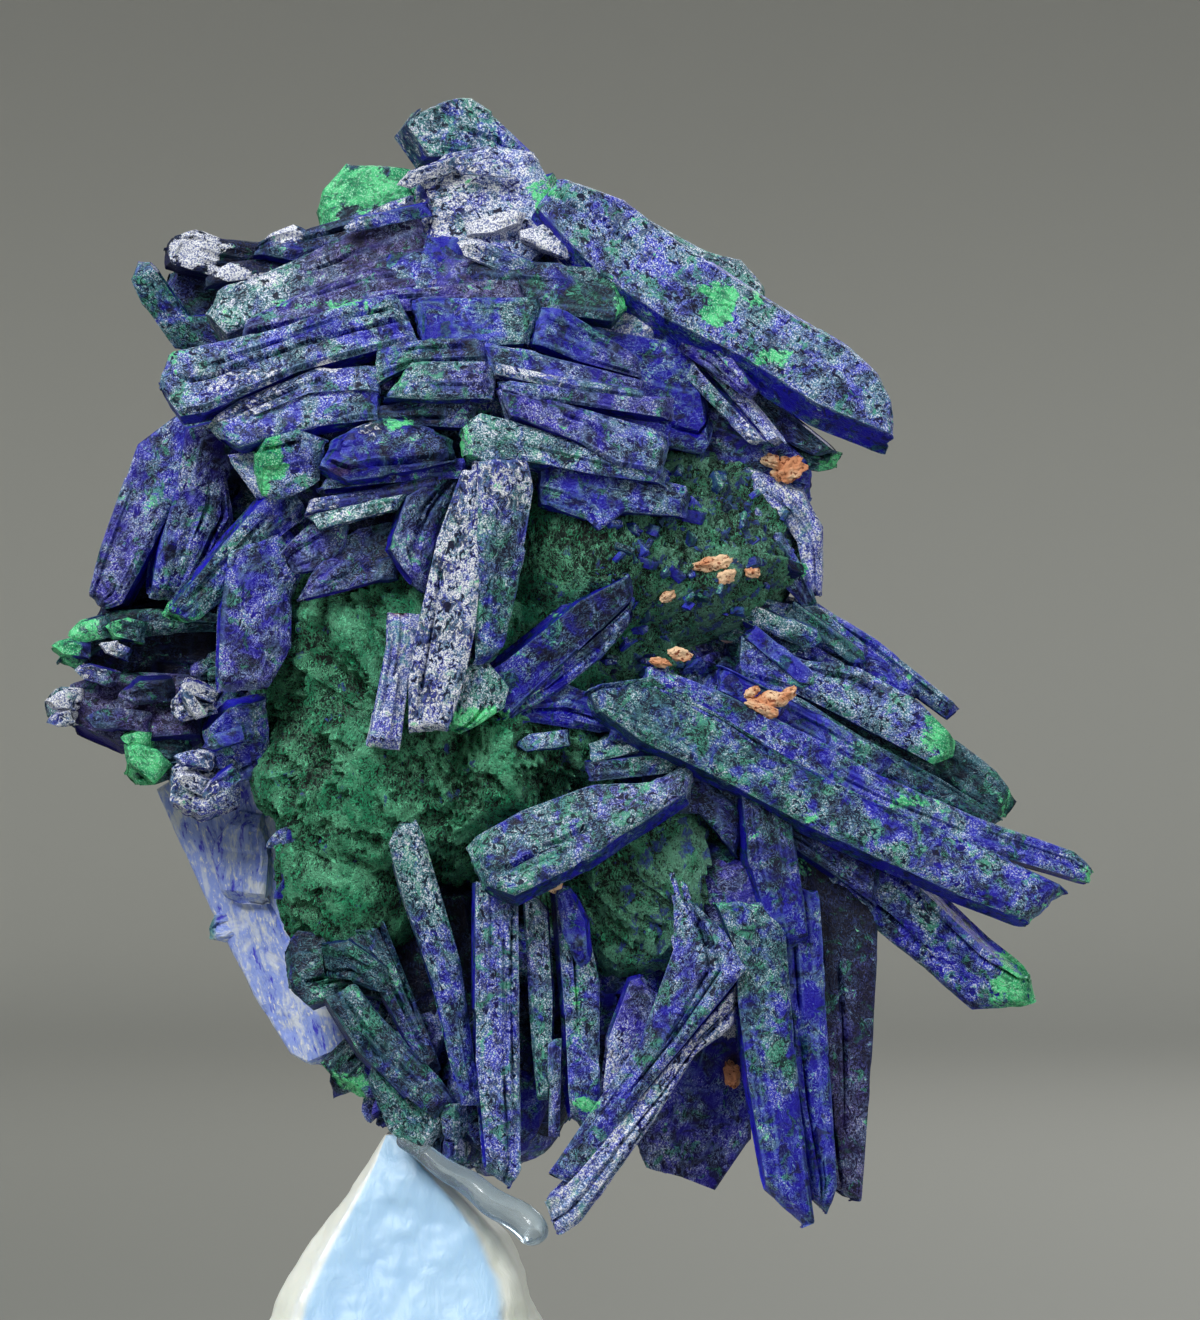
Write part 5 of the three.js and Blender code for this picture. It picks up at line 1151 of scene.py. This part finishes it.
def malachite_material():
    """Felted malachite: a fine web of pale fibres over dark green, with painted light on the ridges and
    painted shade in one dim place, greyer to the right and flecked with blue."""
    s = Shader("felted_malachite")
    place = s.node("TexCoord", output="Object")
    warp = s.node("VectorMath", {0: s.cloud(place, 260, 2, 0.5), 3: 0.0012}, operation="SCALE")
    bent = s.node("VectorMath", {0: place, 1: warp}, operation="ADD")
    fibres = s.cloud(s.stretched(bent, (1.3, 1.0, 0.7)), 3300, 3, 0.6, 0.9)
    curls = s.cloud(bent, 1500, 4, 0.65, 1.2)
    fine = s.cloud(bent, 9000, 2, 0.6, 0.3)
    tufts = s.cloud(place, 640, 4, 0.65, 0.8)
    painted_ridge_light = s.mask("steel")
    across = s.node("SeparateXYZ", {0: place}, output="X")
    greyer = s.times(s.ramp(across, 0.001, 0.013), s.ramp(tufts, 0.4, 0.6, 0.35, 1.0))
    dark = s.mix(s.ramp(tufts, 0.38, 0.62), rgb(1, 14, 12), rgb(5, 42, 34))
    lit = s.mix(s.ramp(tufts, 0.38, 0.62), rgb(34, 178, 122), rgb(124, 232, 178))
    lit = s.mix(greyer, lit, rgb(122, 190, 162))
    web = s.thin_lines(fibres, 0.47, 0.055)
    curl = s.thin_lines(curls, 0.5, 0.05, 0.0)
    # painted light: the ridges are paler, so the creases between them read darker
    share = s.add_times(painted_ridge_light, 0.5, s.times(s.swing(tufts), 0.9))
    share = s.add_times(web, 0.65, share)
    share = s.add_times(curl, 0.45, share)
    share = s.add_times(s.swing(fine), 1.2, share)
    # painted shade: the felt under the ragged plate is darker
    share = s.add_times(s.mask("dark"), -0.3, share)
    colour = s.mix(s.ramp(share, 0.18, 0.8), dark, lit)
    flecks = s.cloud(place, 1300, 3, 0.6, 0.5)
    blue = s.math("ADD", flecks, s.ramp(across, 0.002, 0.011, -0.09, 0.02))
    blue = s.ramp(blue, 0.56, 0.6)
    blue = s.times(blue, s.ramp(fibres, 0.36, 0.5))
    colour = s.mix(s.times(blue, 0.85), colour, s.mix(fine, rgb(20, 24, 120), rgb(70, 104, 196)))
    height = s.math("ADD", s.add_times(web, 0.7, fibres), curl)
    bump = s.bump(height, 0.9, 0.00028)
    return s.finish(Base_Color=colour, Roughness=0.82, Normal=bump, Sheen_Weight=0.1, Sheen_Roughness=0.5,
                    Specular_IOR_Level=0.25)


def limonite_material():
    """Limonite: earthy bits from pale orange to rust brown, with dark pores."""
    s = Shader("limonite_crust")
    place = s.node("TexCoord", output="Object")
    patch = s.cloud(place, 700, 3, 0.6)
    pores = s.cloud(place, 3800, 3, 0.65, 0.5)
    colour = s.mix(s.ramp(patch, 0.4, 0.6), rgb(224, 152, 108), rgb(250, 212, 172))
    colour = s.mix(s.ramp(pores, 0.46, 0.36), colour, rgb(132, 66, 38))
    bump = s.bump(pores, 0.8, 0.0002)
    return s.finish(Base_Color=colour, Roughness=0.8, Normal=bump)


def putty_material():
    """Putty: cream white, its front pane light blue and a little cloudy, with faint press marks."""
    s = Shader("display_putty")
    place = s.node("TexCoord", output="Object")
    cloud = s.cloud(place, 220, 3, 0.55)
    marks = s.cloud(s.stretched(place, (1.0, 1.0, 0.4)), 1100, 3, 0.55, 0.6)
    uneven = s.times(s.swing(cloud), 0.35)
    blue = s.ramp(s.math("ADD", s.mask("steel"), uneven), 0.2, 0.8)
    cream = s.mix(cloud, rgb(234, 240, 224), rgb(248, 251, 244))
    pane = s.mix(cloud, rgb(166, 208, 249), rgb(190, 225, 252))
    colour = s.mix(blue, cream, pane)
    colour = s.mix(s.times(s.mask("edge"), 0.6), colour, rgb(238, 246, 250))
    bump = s.bump(marks, 0.35, 0.0003)
    return s.finish(Base_Color=colour, Roughness=0.42, Normal=bump, Subsurface_Weight=0.25,
                    Subsurface_Radius=(0.002, 0.0024, 0.003), Subsurface_Scale=1.0)


def gel_material():
    """Clear gel: plain transmission with a blue-green cast and a faintly rippled skin."""
    s = Shader("clear_gel")
    place = s.node("TexCoord", output="Object")
    ripple = s.cloud(place, 700, 2, 0.5, 0.4)
    bump = s.bump(ripple, 0.4, 0.0002)
    tint = s.mix(ripple, rgb(206, 228, 244), rgb(238, 248, 252))
    return s.finish(Base_Color=tint, Roughness=0.12, Normal=bump, Transmission_Weight=0.8, IOR=1.4)


def backdrop_material():
    """A pale grey sweep with painted light and shade: darker near the middle, paler far off and to the
    right, and darker again high up.
    """
    s = Shader("studio_backdrop")
    place = s.node("TexCoord", output="Object")
    far = s.node("VectorMath", {0: place}, output="Value", operation="LENGTH")
    across = s.node("SeparateXYZ", {0: place}, output="X")
    height = s.node("SeparateXYZ", {0: place}, output="Z")
    colour = s.mix(s.ramp(far, 0.05, 1.15), rgb(124, 125, 119), rgb(234, 232, 222))
    colour = s.mix(s.ramp(across, -0.06, 0.1, 0.0, 0.16), colour, rgb(254, 252, 246))
    colour = s.mix(s.ramp(height, 0.03, 0.19), colour, rgb(200, 198, 190))
    return s.finish(Base_Color=colour, Roughness=0.9, Specular_IOR_Level=0.1)


# Pieces


def crystal_piece(name, laths, core, seed, coarseness, druse, felt, finish):
    """One intergrowth: its laths, its crowded core if it has one, and its small blades on the felt."""
    surface = Surface()
    for number, item in enumerate(laths):
        behind = BEHIND_COARSENESS if item.depths[1] > BEHIND else 1
        add_lath(surface, item, seed + number, coarseness * behind)
    if core:
        add_crowd(surface, core, seed + 900)
    add_druse(surface, felt, druse, seed + 970)
    piece = surface.mesh_object(name, finish)
    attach(piece, "root")
    return piece


def malachite_piece():
    """The felted lump: a ball of rays as long as the smooth maximum of its lobes, sunk by folds, creases,
    tufts and fibres. The ridges, which get painted light, and the place under the ragged plate, which
    gets painted shade, are kept as masks."""
    centre, lobes = MALACHITE
    columns, rows = 430, 226
    rays = ball_rays(columns, rows)
    skin = np.array(centre) + rays * reach_of(lobes, centre, rays)[:, None]
    bent = skin + 2.2 * np.column_stack([rough(skin * 0.3, seed, 2) - 0.5 for seed in (81, 83, 85)])
    x, y, z = bent.T
    slanting = np.column_stack([0.8 * x + 0.6 * z, y, 0.8 * z - 0.6 * x])
    folds = ridged(slanting * (0.34, 0.3, 0.16), 41, 2)
    creases = ridged(slanting * (0.9, 0.8, 0.36), 45, 3)
    tufts = ridged(bent * (1.9, 1.9, 1.3), 48, 3)
    fibres = ridged(skin * 4.2, 51, 2)
    sunk = (FOLD_DEPTH * (1 - folds ** 2.5) + CREASE_DEPTH * (1 - creases ** 4)
            + TUFT_DEPTH * (1 - tufts ** 3) + FIBRE_DEPTH * (1 - fibres ** 2))
    points = skin - rays * np.clip(sunk - FELT_LEVEL, 0, DEEPEST_FOLD)[:, None]
    masks = np.zeros((len(points), len(MASKS)))
    # painted light: how high a point stands on the folds, creases and tufts, so that the ridges are paler
    height = 0.35 * folds ** 2 + 0.6 * creases ** 3 + 0.5 * tufts ** 2
    mask_of(masks, "steel")[:] = smooth_step((height - 0.35) / 0.95)
    # painted shade: a darker place on the felt under the ragged plate
    (x, z), (radius_x, radius_z) = PAINTED_SHADE_ON_FELT
    from_painted_shade = np.hypot((points[:, 0] - x) / radius_x, (points[:, 2] - z) / radius_z)
    mask_of(masks, "dark")[:] = smooth_step(1.5 - from_painted_shade)
    surface = Surface()
    surface.add(points, grid_faces(rows, columns), masks, points)
    piece = surface.mesh_object("malachite_felt", malachite_material())
    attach(piece, "root")
    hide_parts("malachite_mass")
    return points


# Limonite bits: [x, z], half width, half height, tilt in degrees and depth y, or None on the felt
LIMONITE = [
    ([11.8, 45.9], 1.1, 0.45, 8, None),
    ([12.3, 45.2], 0.5, 0.4, 30, None),
    ([13.6, 45.4], 0.4, 0.3, -20, None),
    ([15.5, 50.6], 0.9, 0.6, 25, -2.4),
    ([14.6, 51.0], 0.5, 0.35, -15, -2.6),
    ([12.7, 42.1], 0.6, 0.3, 10, None),
    ([10.0, 41.3], 0.6, 0.35, -20, -6.6),
    ([9.0, 40.9], 0.5, 0.25, -15, -7.2),
    ([14.5, 39.0], 1.25, 0.42, 12, -6.1),
    ([14.1, 38.6], 0.9, 0.34, -24, -6.4),
    ([15.4, 39.3], 0.5, 0.3, 40, -5.8),
    ([13.6, 39.4], 0.45, 0.25, 30, -6.2),
    ([3.7, 29.8], 0.4, 0.4, 0, -6.4),
    ([12.6, 20.2], 0.4, 0.7, 10, -3.4),
    ([9.4, 44.2], 0.5, 0.3, 40, None),
]


def limonite_piece(felt):
    """Small earthy bits: each a flattened ball of rays with lumps, laid on the felt behind it, or at its
    own depth where it lies on a crystal."""
    surface = Surface()
    columns, rows = 40, 24
    rays = ball_rays(columns, rows)
    for number, ((x, z), half_width, half_height, tilt, depth) in enumerate(LIMONITE):
        if depth is None:
            near = np.hypot(felt[:, 0] - x, felt[:, 2] - z) < 0.5
            depth = felt[near, 1].min() + 0.15
        lumps = 0.45 + 1.0 * rough(rays * 2.2 + number * 7, 61, 3)
        shape = rays * lumps[:, None] * (half_width, 0.3, half_height)
        turn = math.radians(tilt)
        across = shape[:, 0] * math.cos(turn) - shape[:, 2] * math.sin(turn)
        up = shape[:, 0] * math.sin(turn) + shape[:, 2] * math.cos(turn)
        points = np.column_stack([x + across, depth + shape[:, 1], z + up])
        surface.add(points, grid_faces(rows, columns), np.zeros((len(points), len(MASKS))), points)
    piece = surface.mesh_object("limonite_bits", limonite_material())
    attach(piece, "root")


# Putty levels: [height, left, right, front, back]
PUTTY_LEVELS = np.array([
    [0, -15, 12, -12, 12], [1, -15, 12, -12, 12], [2.2, -14.4, 9.6, -10.8, 11], [4, -13, 6.2, -9.2, 9.6],
    [6, -11.8, 4, -8, 8.6], [8, -10.65, 2.8, -7, 7.8], [10, -9.7, 2.4, -6.2, 7], [12, -8.5, 1.3, -5.6, 6.2],
    [14, -7, -0.6, -5, 5.4], [15.8, -5.7, -2.7, -4.2, 4.4], [17.1, -4.9, -4.2, -3, 3],
])
PUTTY_PLANES = [(-94, 0.8), (-4, 1.0), (86, 0.86), (176, 1.0)]  # facing angle and distance of each flat
PANE_LEFT = 221  # facing angles in degrees between which the front is a light blue pane
PANE_RIGHT = 322
PUTTY_MIDDLE = (-4.0, 0.5, 0)  # the dents go in towards the upright line through this
PUTTY_DENT = 0.6  # and this is how deep they are
FOOT_MIDDLE = (-1.5, 0, 0)  # where the foot and the top close
TOP_MIDDLE = (-4.5, 0, PUTTY_LEVELS[-1, 0])


def putty_piece():
    """The putty: a section carried up through the levels. The section is the smooth minimum of four
    flats round an ellipse, so that pinched ridges run down its corners, and it softens to the plain
    ellipse at the foot."""
    columns, rows = 150, 110
    share = np.linspace(0, 1, rows)
    height = share * PUTTY_LEVELS[-1, 0]
    levels = PUTTY_LEVELS.T
    left, right, front, back = (np.interp(height, levels[0], side) for side in levels[1:])
    turn = np.linspace(0, 2 * math.pi, columns, endpoint=False)
    sharp = 9
    flats = sum(np.maximum(np.cos(turn - math.radians(angle)), 0) ** sharp / far ** sharp
                for angle, far in PUTTY_PLANES)
    flats = np.minimum(flats ** (-1 / sharp), 1.12)[None, :]
    pinch = smooth_step((height - 2) / 5)[:, None]
    radius = 1 + (flats - 1) * pinch
    x = ((left + right) / 2)[:, None] + np.cos(turn) * radius * ((right - left) / 2)[:, None]
    y = ((front + back) / 2)[:, None] + np.sin(turn) * radius * ((back - front) / 2)[:, None]
    z = np.repeat(height[:, None], columns, axis=1)
    points = np.stack([x, y, z], axis=-1)
    dents = rough(points.reshape(-1, 3) * 0.55, 71, 3).reshape(rows, columns)
    ease = smooth_step(height / 1.5)[:, None]
    sunk = PUTTY_DENT * dents * ease
    outward = points - PUTTY_MIDDLE
    outward[..., 2] = 0
    reach = np.maximum(np.linalg.norm(outward, axis=-1), 0.3)
    points -= outward / reach[..., None] * np.minimum(sunk, 0.2 * reach)[..., None]
    facing = np.degrees(turn)[None, :] + 0 * points[..., 0]
    on_pane = smooth_step((facing - PANE_LEFT) / 5) * smooth_step((PANE_RIGHT - facing) / 16) * pinch
    masks = np.zeros((rows, columns, len(MASKS)))
    mask_of(masks, "steel")[...] = on_pane
    mask_of(masks, "edge")[...] = smooth_step(1 - np.abs(facing - PANE_LEFT) / 4) * pinch
    # both ends close on their middle
    foot = np.full((columns, 3), FOOT_MIDDLE)
    top = np.full((columns, 3), TOP_MIDDLE)
    points = np.concatenate([foot, points.reshape(-1, 3), top])
    blank = np.zeros((columns, len(MASKS)))
    masks = np.concatenate([blank, masks.reshape(-1, len(MASKS)), blank])
    surface = Surface()
    surface.add(points, grid_faces(rows + 2, columns), masks, points)
    piece = surface.mesh_object("pressed_putty", putty_material())
    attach(piece, "root")
    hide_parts("display_putty")


# The bead of gel: the middles of its two ends and its radius at each
BEAD_TOP = np.array([-3.7, -4.6, 16.9])
BEAD_END = np.array([2.5, -5.6, 12.7])
BEAD_RADII = (0.5, 1.0)


def bead_piece():
    """The bead: a round section carried from the putty's top to its lower end, growing fatter and closed
    by round ends, with slow swellings along it."""
    columns, rows = 40, 70
    run = BEAD_END - BEAD_TOP
    length = np.linalg.norm(run)
    way = run / length
    aside = unit(np.cross(way, (0, 1, 0)))
    out = np.cross(way, aside)
    share = (1 - np.cos(np.linspace(0, math.pi, rows))) / 2
    reach = share * (length + sum(BEAD_RADII)) - BEAD_RADII[0]
    radius = BEAD_RADII[0] + (BEAD_RADII[1] - BEAD_RADII[0]) * np.clip(reach / length, 0, 1)
    past = np.where(reach < 0, -reach / BEAD_RADII[0], np.maximum(reach - length, 0) / BEAD_RADII[1])
    radius = radius * np.sqrt(np.clip(1 - past ** 2, 0, 1))
    turn = np.linspace(0, 2 * math.pi, columns, endpoint=False)
    wave = 0.86 + 0.14 * np.sin(reach * 2.1)[:, None] * np.cos(turn + 1)[None, :]
    ring = np.cos(turn)[None, :, None] * aside + np.sin(turn)[None, :, None] * out
    points = BEAD_TOP + reach[:, None, None] * way + ring * (radius[:, None] * wave)[..., None]
    points = points.reshape(-1, 3)
    surface = Surface()
    surface.add(points, grid_faces(rows, columns), np.zeros((len(points), len(MASKS))), points)
    piece = surface.mesh_object("gel_bead", gel_material())
    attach(piece, "root")
    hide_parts("clear_bead")


# Studio


def studio():
    """A round pale floor that rises far away into a wall all round, a profile turned about the middle."""
    floor_radius, wall_radius, wall_height = 0.95, 1.7, 2.0
    bend = np.linspace(0, math.pi / 2, 40)
    rise = wall_radius - floor_radius
    radius = np.concatenate([[0, floor_radius / 2], floor_radius + rise * np.sin(bend), [wall_radius]])
    height = np.concatenate([[0, 0], rise * (1 - np.cos(bend)), [wall_height]])
    turn = np.linspace(0, 2 * math.pi, 96, endpoint=False)
    points = np.stack([radius[:, None] * np.cos(turn), radius[:, None] * np.sin(turn),
                       height[:, None] + 0 * turn], axis=-1).reshape(-1, 3)
    mesh = bpy.data.meshes.new("studio_sweep")
    mesh.from_pydata(points.tolist(), [], grid_faces(len(radius), len(turn)).tolist())
    mesh.polygons.foreach_set("use_smooth", np.full(len(mesh.polygons), True))
    mesh.materials.append(backdrop_material())
    sweep = link_new("studio_sweep", mesh)


def camera():
    """The camera looks straight along +Y at the middle of the photograph's frame, through a long lens."""
    data = bpy.data.cameras.new("camera")
    data.lens = 300
    data.sensor_width = 36
    data.clip_start = 0.01
    data.clip_end = 10
    distance = VIEW_HEIGHT * data.lens / data.sensor_width
    eye = link_new("camera", data)
    eye.location = Vector((VIEW_CENTRE_X, TRUE_SIZE_DEPTH - distance, VIEW_CENTRE_Z)) * MM
    eye.rotation_euler = (math.pi / 2, 0, 0)
    bpy.context.scene.camera = eye


def softbox(name, place, aim, size, power, spread):
    """A square area light at a place, turned to face its aim, in metres, with its spread in degrees."""
    data = bpy.data.lights.new(name, "AREA")
    data.shape = "SQUARE"
    data.size = size
    data.energy = power
    data.spread = math.radians(spread)
    lamp = link_new(name, data)
    lamp.location = place
    lamp.rotation_euler = (Vector(aim) - Vector(place)).to_track_quat("-Z", "Y").to_euler()


def lights():
    """A large soft key from the upper left, a fill from the right, a light from behind and an even room
    light."""
    aim = (0.004, 0, 0.04)
    softbox("key", (-0.28, -0.42, 0.5), aim, 0.3, 1.05, 90)
    softbox("fill", (0.5, -0.45, 0.18), aim, 0.4, 0.3, 90)
    softbox("back", (0.2, 0.55, 0.45), aim, 0.4, 0.5, 90)
    world = bpy.data.worlds.new("room")
    world.use_nodes = True
    room = world.node_tree.nodes["Background"].inputs
    room["Color"].default_value = (0.9, 0.95, 1, 1)
    room["Strength"].default_value = 0.5
    bpy.context.scene.world = world
    bpy.context.scene.view_settings.view_transform = "Standard"


FINISHES = {"azurite": azurite_material(), "pale_azurite": pale_material()}
camera()
studio()
lights()

CRYSTALS = [
    # name, laths, core, coarseness of its surface, blades on the felt, slot, the solid it stands for
    ("centre_blades", CENTRE, None, 0.9, 0, "azurite", "azurite_centre_blades"),
    ("cap_laths", CAP + SMALL_CAP + REAR_CAP, CAP_CORE, 1.2, 0, "azurite", "azurite_cap"),
    ("right_fan_laths", RIGHT_FAN + SMALL_RIGHT, RIGHT_CORE, 1.1, 150, "azurite", "azurite_right_fan"),
    ("lower_fan_laths", LOWER_FAN + SMALL_LOWER, LOWER_CORE, 1.1, 0, "azurite", "azurite_lower_fan"),
    ("root_crystals", ROOT + SMALL_ROOT, ROOT_CORE, 1.1, 0, "azurite", "azurite_root_crystals"),
    ("roof_laths", ROOF + SMALL_ROOF, None, 1.0, 0, "azurite", "azurite_roof_blades"),
    ("left_slabs", LEFT + SMALL_LEFT, LEFT_CORE, 1.0, 0, "azurite", "azurite_left_blades"),
    ("pale_back_slab", BACK_SLAB + SMALL_BACK_SLAB, None, 1.0, 0, "pale_azurite", "azurite_back_slab"),
    ("rear_spray", REAR, REAR_CORE, 1.2, 0, "azurite", "azurite_rear_spray"),
]
felt = malachite_piece()
for number, (name, laths, core, coarseness, druse, slot, node) in enumerate(CRYSTALS):
    seed = 1000 * (number + 1)
    piece = crystal_piece(name, laths, core, seed, coarseness, druse, felt, FINISHES[slot])
    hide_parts(node)

limonite_piece(felt)
putty_piece()
bead_piece()
